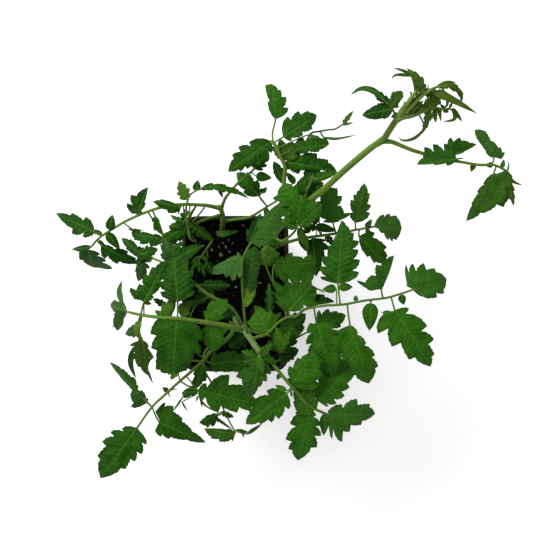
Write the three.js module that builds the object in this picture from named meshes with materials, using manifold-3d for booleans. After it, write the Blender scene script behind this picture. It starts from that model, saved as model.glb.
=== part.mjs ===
// A young tomato plant in a rectangular nursery pot.
// Millimetres, +Z up. The origin is the middle of the pot's underside.
import * as THREE from 'three';
import { mergeVertices } from 'three/addons/utils/BufferGeometryUtils.js';
import Module from 'manifold-3d';

const wasm = await Module();
wasm.setup();

// ---------------------------------------------------------------- driving dimensions
const POT_WIDTH = 106; // across the rim, west to east
const POT_LENGTH = 155; // across the rim, south to north
const POT_HEIGHT = 110;
const POT_CORNER = 13; // corner radius of the rim
const FLOOR_SCALE = 0.86; // size of the pot's floor over the size of its mouth
const RIM_HEIGHT = 7;
const RIM_REACH = 2.5; // how far the rim stands out past the wall
const WALL = 1.6;
const FLOOR = 2.2;
const DRAIN_RADIUS = 5;
const DRAIN_OUT = [24, 44]; // how far east and north of the middle a drain hole lies
const SOIL_TOP = 95;
const CLEARANCE = 0.3; // between pieces that touch

const BLADE_THICKNESS = 0.9; // at the midrib; a blade thins to nothing at its edge
const MIDRIB_STEPS = 3;
const CUP = -0.1; // how far a blade's edge drops for each mm out from the midrib
const ARCH = 0.07; // rise of a midrib's middle, as a share of its length
const VEIN_SLANT = 0.5; // a side vein leaves the midrib this far behind the lobe it feeds
const NOTCH_STEP = 0.2; // a notch lies this far past its lobe, towards the next one
const NOTCH_SHARE = 0.72; // share of a lobe's reach that is left at the notch
const SHOULDER = 0.35; // a blade's shoulder lies this far along to a first lobe that is far out
const LEAST_LOBE_GAP = 0.1; // the least share of a blade's length counted between two lobes
const SHOULDER_FROM = 0.15; // a first lobe nearer the base than this needs no shoulder
const LAST_VEIN_FOOT = 0.95; // no side vein leaves the midrib beyond this share of it
const EDGE_HALF = 1.5; // a folded blade's hidden side reaches this far from the midrib
const STALK_RADIUS = 0.7;
const STALK_GRIP = 3; // how far a leaflet's stalk runs on under its blade

const STEM_SIDES = 8;
const PETIOLE_SIDES = 5;
const STALK_SIDES = 4;
const DRAIN_SIDES = 12;
const CORNER_SEGMENTS = 4; // in each rounded corner of the pot
const CURVE_SAMPLES = 300; // at which the nearest point of a stem or petiole is looked for
const WELD = 1e-4; // vertices closer than this are one

// Places are [east, south, height]. East and south are mm on a square plan drawn at the rim's
// height, from its north-west corner, as seen by an eye high over the plan's middle. What stands
// above the rim is drawn in towards that middle.
const PLAN_SIZE = 533;
const EYE_ABOVE_RIM = 1400;
const POT_ON_PLAN = [235.25, 293.75];

const drawnIn = (height) => (POT_HEIGHT + EYE_ABOVE_RIM - height) / EYE_ABOVE_RIM;

function place([east, south, height]) {
  const middle = PLAN_SIZE / 2;
  const k = drawnIn(height);
  const x = middle + (east - middle) * k - POT_ON_PLAN[0];
  const y = POT_ON_PLAN[1] - middle - (south - middle) * k;
  return new THREE.Vector3(x, y, height);
}

// ---------------------------------------------------------------- from geometry to solid and back
function solidOf(geometry) {
  geometry.deleteAttribute('normal');
  geometry.deleteAttribute('uv');
  const merged = mergeVertices(geometry, WELD);
  return new wasm.Manifold(new wasm.Mesh({
    numProp: 3,
    vertProperties: new Float32Array(merged.attributes.position.array),
    triVerts: new Uint32Array(merged.index.array),
  }));
}

function geometryOf(solid) {
  const mesh = solid.getMesh();
  const geometry = new THREE.BufferGeometry();
  geometry.setAttribute('position', new THREE.BufferAttribute(mesh.vertProperties, 3));
  geometry.setIndex(new THREE.BufferAttribute(mesh.triVerts, 1));
  geometry.computeVertexNormals();
  return geometry;
}

// ---------------------------------------------------------------- pot and soil shapes
// A rounded box from z = bottom to z = top, drawn in towards the pot's floor like its wall.
function taperedBlock(width, length, corner, bottom, top) {
  const w = width / 2;
  const l = length / 2;
  const outline = new THREE.Shape();
  outline.absarc(w - corner, l - corner, corner, 0, Math.PI / 2);
  outline.absarc(corner - w, l - corner, corner, Math.PI / 2, Math.PI);
  outline.absarc(corner - w, corner - l, corner, Math.PI, 1.5 * Math.PI);
  outline.absarc(w - corner, corner - l, corner, 1.5 * Math.PI, 2 * Math.PI);
  const geometry = new THREE.ExtrudeGeometry(outline, {
    depth: top - bottom, bevelEnabled: false, curveSegments: CORNER_SEGMENTS,
  });
  geometry.translate(0, 0, bottom);
  const position = geometry.attributes.position;
  for (let i = 0; i < position.count; i += 1) {
    const scale = THREE.MathUtils.lerp(FLOOR_SCALE, 1, position.getZ(i) / POT_HEIGHT);
    position.setXY(i, position.getX(i) * scale, position.getY(i) * scale);
  }
  return solidOf(geometry);
}

function insetBlock(inset, bottom, top) {
  const corner = POT_CORNER - inset;
  return taperedBlock(POT_WIDTH - 2 * inset, POT_LENGTH - 2 * inset, corner, bottom, top);
}

function drainHole(east, north) {
  const hole = new THREE.CylinderGeometry(DRAIN_RADIUS, DRAIN_RADIUS, 4 * FLOOR, DRAIN_SIDES);
  hole.rotateX(Math.PI / 2);
  hole.translate(east, north, 0);
  return solidOf(hole);
}

function potSolid() {
  const rim = insetBlock(0, POT_HEIGHT - RIM_HEIGHT, POT_HEIGHT);
  const wall = insetBlock(RIM_REACH, 0, POT_HEIGHT - RIM_HEIGHT / 2);
  let pot = rim.add(wall).subtract(insetBlock(RIM_REACH + WALL, FLOOR, POT_HEIGHT + 1));
  for (const east of [-DRAIN_OUT[0], DRAIN_OUT[0]]) {
    for (const north of [-DRAIN_OUT[1], DRAIN_OUT[1]]) {
      pot = pot.subtract(drainHole(east, north));
    }
  }
  return pot;
}

// ---------------------------------------------------------------- round rods
// A rod along a smooth curve, with its radius running evenly from the first to the last given.
function rod(points, radii, sides, steps) {
  const curve = points.length > 2 ? new THREE.CatmullRomCurve3(points)
    : new THREE.LineCurve3(points[0], points[1]);
  const corners = [];
  for (let i = 0; i < sides; i += 1) {
    const turn = 2 * Math.PI * i / sides;
    corners.push(new THREE.Vector2(radii[0] * Math.cos(turn), radii[0] * Math.sin(turn)));
  }
  const geometry = new THREE.ExtrudeGeometry(new THREE.Shape(corners), {
    steps, bevelEnabled: false, extrudePath: curve,
  });
  const rings = curve.getSpacedPoints(steps);
  const position = geometry.attributes.position;
  const point = new THREE.Vector3();
  for (let i = 0; i < position.count; i += 1) {
    point.fromBufferAttribute(position, i);
    const distances = rings.map((ring) => ring.distanceToSquared(point));
    const nearest = distances.indexOf(Math.min(...distances));
    const slim = THREE.MathUtils.lerp(1, radii[1] / radii[0], nearest / steps);
    point.sub(rings[nearest]).multiplyScalar(slim).add(rings[nearest]);
    position.setXYZ(i, point.x, point.y, point.z);
  }
  return solidOf(geometry);
}

// ---------------------------------------------------------------- stems
// Each stem is a rod from its foot in the soil to its top.
function stem(points, radii, steps) {
  const places = points.map(place);
  const curve = new THREE.CatmullRomCurve3(places);
  const grown = radii.map((radius) => radius + CLEARANCE);
  const footing = places.map((point) => point.clone());
  footing[0].z -= CLEARANCE;
  return {
    solid: rod(places, radii, STEM_SIDES, steps),
    room: rod(footing, grown, STEM_SIDES, steps),
    at: (height) => curve.getPoints(CURVE_SAMPLES).reduce((best, point) => (
      Math.abs(point.z - height) < Math.abs(best.z - height) ? point : best)),
  };
}

const stemMain = stem([
  [262, 264, 75], [264, 258, 115], [280, 232, 155], [300, 209, 190], [322, 190, 222],
  [345, 169, 252], [372, 147, 286], [383, 140, 300], [392, 127, 318], [398, 118, 332], [404, 110, 345],
], [4.4, 2.4], 15);
const stemCentre = stem([
  [232, 312, 75], [235, 317, 120], [238, 322, 160], [245, 331, 205], [252, 341, 235], [259, 352, 258],
], [4.2, 3.4], 8);
const stemNorthwest = stem([
  [222, 229, 75], [222.5, 226, 100], [223, 219, 125], [222, 212, 145], [219, 206.5, 162],
], [2.6, 2.2], 7);

// ---------------------------------------------------------------- leaflet blades
// A blade's edges are lists of [along, out]: shares of its length, and mm from the midrib.
function notched(lobes) {
  const edge = [];
  const [firstAlong, firstOut] = lobes[0];
  if (firstAlong > SHOULDER_FROM) edge.push([firstAlong * SHOULDER, firstOut * NOTCH_SHARE]);
  lobes.forEach(([along, out], i) => {
    const next = i + 1 < lobes.length ? lobes[i + 1][0] : 1;
    edge.push([along, out]);
    edge.push([along + NOTCH_STEP * Math.max(next - along, LEAST_LOBE_GAP), out * NOTCH_SHARE]);
  });
  return edge;
}

// The lobes' tips are given as they lie on the plan: east, south, east, south and so on.
function lobed(base, tip, lobes, cup = CUP) {
  const east = tip[0] - base[0];
  const south = tip[1] - base[1];
  const length = Math.hypot(east, south);
  const sides = { left: [], right: [] };
  for (let i = 0; i < lobes.length; i += 2) {
    const toEast = lobes[i] - base[0];
    const toSouth = lobes[i + 1] - base[1];
    const along = (toEast * east + toSouth * south) / length ** 2;
    const out = (toEast * south - toSouth * east) / length;
    (out > 0 ? sides.left : sides.right).push([along, Math.abs(out)]);
  }
  const [left, right] = [sides.left, sides.right].map((lobesHere) => (
    lobesHere.length > 0 ? notched(lobesHere.sort((a, b) => a[0] - b[0])) : [[0.5, EDGE_HALF]]));
  return { base, tip, left, right, cup };
}

function toothed(base, tip, half, cup = CUP) {
  const edge = notched([[0.22, half], [0.5, 0.92 * half], [0.74, 0.6 * half]]);
  return { base, tip, left: edge, right: edge, cup };
}

function oval(base, tip, half, cup = CUP) {
  const edge = [[0.12, 0.7 * half], [0.42, half], [0.78, 0.62 * half]];
  return { base, tip, left: edge, right: edge, cup };
}

// A strip of triangles between the midrib and one edge, which meet at the base and at the tip.
function strip(rib, edge, feet, turned) {
  const triangles = [];
  const add = (a, b, c) => {
    if (a !== b && b !== c && c !== a) triangles.push(...(turned ? [a, c, b] : [a, b, c]));
  };
  let i = 0;
  let j = 0;
  while (i < rib.length - 1 || j < edge.length - 1) {
    const ribNext = i < rib.length - 1 ? (i + 1) / (rib.length - 1) : Infinity;
    const edgeNext = j < edge.length - 1 ? feet[j + 1] : Infinity;
    if (edgeNext <= ribNext) {
      add(rib[i], edge[j], edge[j + 1]);
      j += 1;
    } else {
      add(rib[i], edge[j], rib[i + 1]);
      i += 1;
    }
  }
  return triangles;
}

// How far the midrib stands above the straight line from a blade's base to its tip.
function riseAt(along, length) {
  const inside = THREE.MathUtils.clamp(along, 0, 1);
  return ARCH * length * 4 * inside * (1 - inside);
}

// A blade is an upper and a lower skin that meet all along its edge.
function bladeSolid({ base, tip, left, right, cup }) {
  const start = place(base);
  const axis = place(tip).sub(start);
  const leftward = new THREE.Vector3(-axis.y, axis.x, 0).normalize();
  const k = drawnIn((base[2] + tip[2]) / 2);
  const planLength = Math.hypot(tip[0] - base[0], tip[1] - base[1]);
  const vertices = [];
  const put = (along, out, lift) => {
    const point = start.clone().addScaledVector(axis, along).addScaledVector(leftward, out * k);
    point.z += riseAt(along, axis.length()) + lift + Math.abs(out) * cup;
    return vertices.push(point.x, point.y, point.z) / 3 - 1;
  };
  const first = put(0, 0, 0);
  const last = put(1, 0, 0);
  const ribs = [BLADE_THICKNESS / 2, -BLADE_THICKNESS / 2].map((lift) => {
    const inner = Array.from({ length: MIDRIB_STEPS - 1 }, (_, i) => put((i + 1) / MIDRIB_STEPS, 0, lift));
    return [first, ...inner, last];
  });
  const triangles = [];
  [[left, 1], [right, -1]].forEach(([side, sign]) => {
    const edge = [first, ...side.map(([along, out]) => put(along, sign * out, 0)), last];
    const feet = [0, ...side.map(([along, out]) => (
      THREE.MathUtils.clamp(along - VEIN_SLANT * out / planLength, 0, LAST_VEIN_FOOT))), 1];
    triangles.push(...strip(ribs[0], edge, feet, sign > 0));
    triangles.push(...strip(ribs[1], edge, feet, sign < 0));
  });
  const geometry = new THREE.BufferGeometry();
  geometry.setAttribute('position', new THREE.Float32BufferAttribute(vertices, 3));
  geometry.setIndex(triangles);
  return solidOf(geometry);
}

// ---------------------------------------------------------------- compound leaves
// A leaf is its petiole, which leaves a stem at a height, with its blades on stalks of their own.
function leafSolid(start, path, radii, blades) {
  const points = [start, ...path.map(place)];
  const petiole = new THREE.CatmullRomCurve3(points).getPoints(CURVE_SAMPLES);
  const pieces = [rod(points, radii, PETIOLE_SIDES, 2 * path.length)];
  for (const blade of blades) {
    const base = place(blade.base);
    const axis = place(blade.tip).sub(base);
    const gripped = STALK_GRIP / axis.length();
    const grip = base.clone().addScaledVector(axis, gripped);
    grip.z += riseAt(gripped, axis.length());
    const joint = petiole.reduce((best, point) => (
      point.distanceToSquared(base) < best.distanceToSquared(base) ? point : best));
    pieces.push(rod([joint, grip], [STALK_RADIUS, 0.6 * STALK_RADIUS], STALK_SIDES, 1));
    pieces.push(bladeSolid(blade));
  }
  return wasm.Manifold.union(pieces);
}

// Where blades cross, they can shut in a bubble, which is an inside-out shell of its own.
function withoutBubbles(solid) {
  const shells = solid.decompose();
  return wasm.Manifold.union(shells.filter((shell) => shell.volume() > 0));
}

const leafOn = (carrier, height, path, radii, blades) => (
  withoutBubbles(leafSolid(carrier.at(height), path, radii, blades).subtract(carrier.room)));

// Leaves of the thin stem at the north-west.
const northwestLeaves = {
  nw_leaf_west: leafOn(stemNorthwest, 157, [
    [208, 205.7, 165], [200, 205, 168], [180, 204.5, 171], [157, 208.5, 169], [130, 219, 160],
    [110, 230.5, 150], [98, 239, 143], [91, 247, 137],
  ], [1.9, 0.9], [
    lobed([181, 207, 174], [153, 201, 176], [161, 199, 168, 213, 178, 214]),
    lobed([137, 214, 165], [148, 187, 168], [131, 195, 127, 203, 128, 212, 149, 195, 146, 205]),
    oval([110, 229, 153], [112, 215, 156], 4.5),
    lobed([100, 234, 146], [56, 212.5, 130], [73, 213, 86.5, 217, 73, 233.5, 83, 236.5, 90, 238]),
    oval([107, 233, 149], [120, 249, 141], 4.5),
    lobed([101, 245, 142], [136, 264, 120], [128, 251, 135, 257, 117, 263, 106, 260]),
    lobed([90, 250, 136], [96, 268, 104], [77, 253, 80, 261, 101, 254, 111, 264]),
    oval([91, 246, 139], [72, 249.5, 132], 2.5),
    toothed([135, 236, 152], [172, 240, 142], 8),
    lobed([154, 212, 165], [163, 235, 150], [151, 222, 154, 231, 163, 222]),
    toothed([191, 223, 170], [211, 240, 160], 6),
    toothed([186, 221, 170], [168, 236, 158], 6.5),
  ]),
  nw_shoot: leafOn(stemNorthwest, 138, [
    [210, 218, 148], [199, 222, 156], [190, 227, 160], [187, 221, 176], [186, 212, 185], [187, 203, 189],
    [191, 194, 192], [203, 188, 194],
  ], [1.5, 0.7], [
    toothed([188, 200, 190], [181, 182, 193], 6),
    oval([196, 191, 193], [197, 180, 196], 3.5),
    lobed([203, 188, 194], [249, 198, 184], [222, 197, 225, 186, 236, 191]),
    toothed([184, 222, 176], [167, 212, 177], 3.5),
    oval([188, 230, 158], [197, 242, 150], 1.5),
  ]),
  nw_leaf_north: leafOn(stemNorthwest, 151, [
    [225, 199, 168], [231, 191, 177], [240, 181, 184], [250, 173, 187], [256, 167, 188],
  ], [1.5, 0.8], [
    oval([256, 176, 186], [272, 178, 183], 5),
    toothed([254, 169, 188], [266, 152, 186], 9),
  ]),
  nw_leaf_east: leafOn(stemNorthwest, 118, [
    [235, 219.5, 128], [250, 217, 138], [262, 210, 144], [270, 205, 147], [280, 199, 149],
  ], [1.5, 0.8], [
    lobed([260, 195, 154], [246, 173, 156], [241, 189, 247, 194, 262, 182, 258, 173]),
    oval([262, 193, 153], [267, 187, 153], 2.5),
    toothed([280, 199, 149], [294, 191, 146], 7),
    oval([268, 208, 147], [263, 225, 144], 3.5),
  ]),
  seed_leaf: leafOn(stemNorthwest, 102, [[220, 231, 104], [217, 235, 105]], [0.8, 0.6], [
    oval([217, 235, 105], [239, 231, 107], 3.2),
  ]),
};

// Leaves of the long stem that leans out to the north-east.
const mainLeaves = {
  main_leaf_low_east: leafOn(stemMain, 122, [
    [277, 246, 133], [300, 239, 148], [333, 234, 160], [352, 230.6, 163], [374, 226.6, 160],
  ], [1.9, 0.9], [
    lobed([355.5, 223, 164], [364.5, 183, 166], [
      357, 191, 353.5, 194.5, 350.5, 200, 350, 213, 370, 194, 371, 205.5, 370, 213,
    ]),
    lobed([374, 226, 160], [402, 228, 150], [
      384, 214.5, 390, 214.5, 397, 216.5, 386, 238, 391, 240, 397, 239,
    ]),
    lobed([359, 236, 161], [384, 263, 150], [375, 233, 387, 247, 388, 256, 368, 257, 375, 262.5]),
    oval([366, 228, 162], [372, 219, 164], 3),
    oval([366, 229, 161], [371, 235, 158], 2.5),
    oval([316, 226, 164], [337, 231, 166], 4.5),
    lobed([329, 224, 166], [329, 187, 172], [316, 200, 318, 211, 341, 189, 343, 206, 350, 212, 337, 221]),
    lobed([312, 238, 153], [316, 277, 136], [305, 247, 307, 256, 325, 240, 326, 245]),
    oval([300, 238, 149], [307, 252, 142], 4),
    lobed([301, 226, 160], [314, 199, 168], [304, 201, 301, 212, 320, 206, 317, 217]),
    oval([304, 230, 155], [311, 232, 154], 3),
  ]),
  main_leaf_low_north: leafOn(stemMain, 147, [
    [275, 229, 157], [278, 221, 166], [282, 214, 171],
  ], [1.5, 0.9], [
    lobed([282, 214, 172], [284, 184, 176], [274.5, 197.5, 276, 207, 294, 196, 293, 206]),
  ]),
  main_leaf_north: leafOn(stemMain, 172, [
    [288, 200, 188], [284, 183, 200], [285, 167, 207], [280, 156, 210], [276, 147, 211], [273, 141, 210],
  ], [1.9, 0.9], [
    lobed([275, 120, 208], [271, 84, 200], [265, 86, 267, 103, 281, 91, 287, 99, 288.5, 108]),
    lobed([282, 137, 211], [316, 114, 208], [286, 114, 299, 111, 312, 128, 307, 134]),
    lobed([271, 141, 209], [229, 171, 196], [
      249, 141, 239, 148, 235, 153, 240, 170, 246, 169, 255, 168, 266, 163, 270, 157,
    ]),
    lobed([284, 152, 209], [329, 140, 207], [300, 136, 314, 135, 296, 153, 310, 151]),
    lobed([290, 160, 205], [337, 170, 198], [310, 153, 326, 157, 305, 170, 320, 173]),
    lobed([284, 184, 197], [274, 161, 197], [273, 172, 284, 168]),
  ]),
  main_leaf_north_small: leafOn(stemMain, 183, [
    [302, 190, 190], [308, 165, 190], [310, 145, 190], [316, 131.5, 189], [336, 129, 187], [343, 124, 186],
  ], [1.2, 0.6], [
    oval([343, 124, 186], [353, 111, 188], 2.5),
    oval([326, 137.5, 186], [359, 134, 182], 2.5),
  ]),
  main_leaf_mid: leafOn(stemMain, 196, [
    [306, 192, 212], [301, 180, 224], [296, 171, 232],
  ], [1.5, 0.8], [
    toothed([296, 172, 232], [290, 141, 232], 10),
    lobed([304, 186, 219], [338, 172, 212], [318, 168, 330, 171, 316, 186]),
  ]),
  main_leaf_far_east: leafOn(stemMain, 297, [
    [392, 142, 303], [402, 146, 306], [412, 150, 308], [423, 153, 308], [461, 162, 306], [480, 165, 303],
    [494, 165, 300], [507, 171, 296],
  ], [1.9, 0.8], [
    lobed([458, 158, 308], [417, 164, 300], [424, 147, 433, 144, 444, 143, 447, 165]),
    lobed([457, 158, 309], [476, 144.5, 312], [451, 139, 457, 137, 466, 139, 462, 154]),
    oval([474, 164, 304], [471, 172, 300], 3),
    oval([493, 165, 301], [485, 165, 300], 3),
    lobed([494, 158, 302], [475, 130, 300], [480, 144, 485, 154, 499, 145, 503.5, 151, 502, 157]),
    oval([502, 168, 299], [504, 159, 300], 2.5),
    lobed([494, 176, 298], [466, 221, 280], [
      483, 183, 477, 191, 470, 203, 468, 210, 478, 213, 484, 211.5, 497, 205,
    ]),
    lobed([503, 171, 297], [523, 185.5, 288], [517, 195, 514, 205, 502, 206, 519, 178]),
  ]),
  tip_leaf_west: leafOn(stemMain, 331, [[394, 112, 338], [389, 105, 342], [383, 99, 344]], [1.2, 0.7], [
    oval([383, 98, 344], [350, 94.5, 338], 2.2),
    lobed([391, 106, 341], [362, 115, 330], [371, 108, 378, 104, 382, 119]),
    oval([387, 103, 343], [396, 93, 348], 3),
  ]),
  tip_leaf_arched: leafOn(stemMain, 339, [[401, 106, 348], [403, 99, 354], [411, 96, 357]], [1.2, 0.7], [
    lobed([411, 96, 357], [407, 69, 364], [399, 80, 401, 88, 418, 75, 424, 80]),
    oval([406, 85, 362], [389, 68, 364], 1.8),
    oval([404, 90, 360], [391, 79, 360], 1.8),
  ]),
  tip_leaf_north: leafOn(stemMain, 341.5, [
    [409, 103, 348], [415, 95.5, 352], [425, 91, 354], [440, 84, 354],
  ], [1.3, 0.7], [
    oval([440, 84, 354], [461, 83.5, 350], 2.5),
    oval([448, 86, 354], [463, 103, 342], 2.5),
    oval([430, 93, 353], [478, 113.5, 344], 4),
  ]),
  tip_leaf_east: leafOn(stemMain, 334, [
    [408, 114, 338], [415, 112, 339], [425, 109, 339], [435, 107, 338],
  ], [1.3, 0.7], [
    toothed([427, 112, 338], [400, 138, 322], 5),
    oval([428, 111, 338], [422, 140, 326], 2),
    oval([435, 109, 337], [436, 122, 331], 2),
    lobed([446, 107, 336], [455, 124, 328], [463, 122, 447, 121]),
  ]),
};

// Leaves of the furry stem near the pot's middle.
const centreLeaves = {
  centre_leaf_east: leafOn(stemCentre, 231, [
    [262, 336, 236], [271, 330, 238], [279, 322, 239], [287, 317, 239], [296, 316, 240], [308, 308.5, 241],
    [323, 305.4, 241], [343.6, 304.6, 240], [364.4, 300.6, 237], [386.7, 297.7, 232], [399.4, 294.2, 228],
    [411.4, 290.2, 223],
  ], [2.1, 0.9], [
    lobed([288, 312, 241], [293, 251, 238], [
      274, 281, 275, 266, 280, 257, 318, 302, 314, 288, 312, 273, 306, 256,
    ]),
    lobed([268, 333, 239], [254, 306, 242], [247, 325, 251, 333, 268, 309, 281, 312, 277, 322]),
    lobed([338, 284, 241], [342, 220, 232], [
      335, 236, 321, 257, 320, 275, 348, 226, 359, 240, 358.5, 249, 359, 259, 360, 270,
    ]),
    oval([336, 288, 241], [322, 290, 239], 4.5),
    oval([339, 287, 241], [353, 287, 239], 4.5),
    lobed([383, 286, 237], [395, 256, 226], [366, 287, 359, 280, 372, 276, 375, 267, 381, 262]),
    lobed([412, 289.5, 223], [447, 279, 208], [
      405, 266, 410, 264, 421, 265, 436, 270, 445, 294, 437, 298,
    ]),
    oval([356, 301, 239], [355.5, 295, 239], 2.5),
    oval([401, 295, 228], [404, 305, 226], 4),
    oval([370.5, 303, 236], [369.5, 331, 226], 8),
    lobed([395, 310, 231], [431, 367, 212], [
      380, 332, 390, 345.5, 408, 357, 408, 310, 426, 326, 432, 339,
    ]),
    lobed([350, 325, 236], [369, 384, 214], [
      337, 331, 343, 356, 352, 374, 358, 333, 372, 352, 378, 365,
    ]),
    lobed([316.5, 323, 235], [334, 380, 220], [308, 340, 309, 352, 316, 368, 338, 330, 341, 348]),
  ]),
  centre_leaf_southeast: leafOn(stemCentre, 243, [
    [266, 356, 247], [274, 366, 248], [288, 382, 246], [292.6, 388, 244], [304, 401, 236], [312, 407, 230],
    [326, 414, 222],
  ], [1.9, 0.9], [
    lobed([328, 414, 222], [375.5, 414, 206], [
      340, 405.5, 357, 398.5, 369, 403.5, 354, 424, 348.5, 433, 341, 444,
    ]),
    lobed([309, 413, 226], [298, 461, 208], [
      288.6, 423, 285.4, 438.5, 288, 448, 319, 419, 321, 437, 317, 447,
    ]),
    lobed([287, 393, 242], [245.5, 424.5, 224], [
      267, 390, 256, 398, 249, 410, 288.5, 409.5, 278.5, 419, 271.5, 422.5, 261, 424,
    ]),
    oval([286, 390, 243], [275, 385, 241], 3.5),
    lobed([318, 401, 228], [355, 362, 204], [
      312, 386, 318, 371, 335, 358, 329, 406, 337, 403, 345, 395.5, 350, 387,
    ]),
    oval([324, 414, 222], [324, 436, 214], 4),
    lobed([294, 385, 243], [312, 352, 240], [287, 377, 290, 364, 299, 359, 318, 374, 319, 362]),
  ]),
  centre_leaf_west: leafOn(stemCentre, 200, [
    [230, 327, 215], [217, 324, 222], [200, 321, 229], [177.6, 318, 233], [158, 317, 231], [141, 315, 226],
    [126.5, 311.7, 219],
  ], [2.1, 0.9], [
    lobed([126.5, 312, 219], [110.5, 305, 180], [122, 281, 115, 297, 118, 330, 113, 320]),
    lobed([144, 302, 230], [150, 262, 226], [130.5, 288, 140, 270, 165, 290, 165, 275]),
    lobed([177.6, 302, 234], [173, 251, 226], [
      160, 290, 161, 272, 163, 262, 195, 290, 197, 274, 192, 262,
    ]),
    lobed([176.5, 331, 234], [173, 380, 218], [
      151, 322, 150, 345, 155, 369, 203, 324, 206, 345, 187, 368,
    ]),
    lobed([214, 321, 224], [226, 299, 226], [206, 311, 211, 303, 229, 310]),
    lobed([212, 326, 222], [210, 353, 214], [203, 335, 204, 348, 228, 333, 224, 346]),
    lobed([140, 321, 226], [150, 384, 176], [
      126, 334, 129, 345, 130, 359, 136, 379, 143, 337, 151, 353, 148, 362,
    ]),
  ]),
  centre_leaf_southwest: leafOn(stemCentre, 165, [
    [228, 338, 172], [212, 350, 176], [202, 362, 179], [181, 380, 182], [168, 393, 182], [152, 407, 180],
    [137, 428, 174],
  ], [1.9, 0.9], [
    lobed([137, 428, 174], [100, 479, 160], [
      122, 429, 111, 433, 104, 442, 98, 454, 101, 461, 146.5, 444, 141, 453, 134.5, 461, 125, 468,
    ]),
    lobed([143, 402, 179], [110, 363, 166], [147, 397, 137, 387, 131, 376, 131, 406.5, 130, 393, 123, 379]),
    lobed([158, 421, 178], [206, 443, 162], [
      157, 411, 165, 403, 173, 405, 182, 418, 191, 429, 154, 433, 168, 438, 184, 439.5,
    ]),
    oval([168, 391, 182], [163, 388, 183], 2.6),
    lobed([195, 389, 183], [256, 402, 176], [
      205, 383, 228, 376, 245, 386, 203, 400, 218, 411, 239, 412, 248, 410.5,
    ]),
    oval([190, 386, 182], [182, 397, 178], 4.5),
    toothed([202, 367, 180], [193, 388, 172], 7),
    toothed([186, 361, 180], [160, 372, 172], 9),
    lobed([210, 363, 180], [253, 360, 176], [215, 352, 235, 351, 217, 372.5, 229, 372, 240, 372]),
    toothed([197, 353, 181], [186, 335, 180], 8),
  ]),
  centre_leaf_south_low: leafOn(stemCentre, 138, [
    [222, 335, 144], [205, 352, 148], [204, 368, 150], [211, 382, 152], [221, 403, 152], [226, 415, 151],
    [234, 430, 148],
  ], [1.3, 0.7], [
    lobed([217, 414, 150], [199, 422, 142], [206, 415.5, 201, 420, 218, 424, 212, 427, 207, 428]),
    lobed([232, 430, 148], [204.5, 429, 138], [223, 427, 213, 430, 212, 439, 219, 440.5, 229, 441, 234, 438]),
    oval([236, 430, 147], [262, 424, 138], 3),
    toothed([222, 413, 151], [234, 417, 147], 3.5),
    oval([213, 411, 151], [197, 397, 148], 2),
  ]),
  centre_leaf_south: leafOn(stemCentre, 253, [[261, 360, 257], [259, 368, 257]], [1.6, 1], [
    lobed([259, 362, 257], [253, 398, 240], [240, 371, 236, 378, 243, 385, 273, 365, 270, 378, 262, 387]),
  ]),
  centre_leaf_north: leafOn(stemCentre, 219, [
    [246, 322, 232], [243.5, 305, 246], [242, 280, 262], [242, 262, 270], [247, 249, 273], [252, 242, 274],
  ], [1.6, 1], [
    lobed([252, 243, 274], [281, 199, 276], [246, 230, 253, 217, 264, 212, 276, 237, 291, 224, 290, 208]),
    lobed([243, 261, 270], [213, 267, 254], [237, 250, 225, 260, 213, 274.5, 226, 277.5, 232, 281, 239, 278]),
    lobed([243, 303, 248], [247, 256, 262], [259, 293, 260, 278, 261, 264]),
  ]),
  centre_leaf_northwest: leafOn(stemCentre, 183, [
    [233, 309, 205], [222, 302, 212], [209, 294, 217], [197.5, 283, 219], [183, 274, 216], [166, 264, 211],
    [152, 258, 207],
  ], [1.8, 0.9], [
    lobed([199, 284, 217], [231, 287, 210], [212, 279, 222, 280, 212, 291, 222, 292]),
    lobed([170, 266, 214], [204, 246, 208], [176, 249, 190, 245, 185, 266, 198, 257]),
    lobed([150, 257, 206], [119, 236, 197], [138, 236, 125, 232, 122, 250, 135, 258]),
    lobed([149, 266, 204], [138, 281, 190], [136, 268, 135, 277, 146, 270]),
    toothed([160, 262, 209], [148, 243, 207], 8),
  ]),
  centre_leaf_inner_east: leafOn(stemCentre, 148, [
    [250, 330, 157], [264, 334, 163], [280, 338, 167], [290, 342, 167],
  ], [1.6, 0.9], [
    lobed([281, 334, 168], [306, 316, 164], [284, 318, 296, 311, 303, 328]),
    toothed([290, 339, 168], [309, 331, 162], 6),
    toothed([289, 343, 167], [304, 354, 160], 8),
    toothed([278, 340, 167], [285, 365, 158], 9),
    lobed([300, 330, 168], [344, 316, 164], [316, 312, 330, 310, 322, 330, 334, 326]),
    toothed([270, 313, 166], [268, 283, 158], 5.5),
  ]),
};

// A young shoot of its own, rooted at the foot of the thin stem.
const youngShootPath = [
  [213, 239, 82], [212, 241, 108], [207, 247, 122], [202, 255, 130], [200, 263, 132], [198, 270, 130],
];
const youngShootRadii = [1.2, 0.7];
const youngShoot = leafSolid(place(youngShootPath[0]), youngShootPath.slice(1), youngShootRadii, [
  oval([207, 263, 129], [212, 275, 125], 5),
  oval([200, 266, 132], [206, 277, 128], 3.5),
  oval([196, 262, 132], [189, 271, 127], 3),
  oval([198, 270, 130], [193, 278, 126], 3),
]);
const youngShootFooting = youngShootPath.map(place);
youngShootFooting[0].z -= CLEARANCE;
const youngShootRoom = rod(
  youngShootFooting,
  youngShootRadii.map((radius) => radius + CLEARANCE),
  PETIOLE_SIDES,
  2 * (youngShootPath.length - 1),
);

// The soil fills the pot to just under its mouth, with a planting hole for each stem.
const soilInset = RIM_REACH + WALL + CLEARANCE;
const soil = [stemMain.room, stemCentre.room, stemNorthwest.room, youngShootRoom].reduce(
  (block, room) => block.subtract(room),
  insetBlock(soilInset, FLOOR + CLEARANCE, SOIL_TOP),
);

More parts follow.
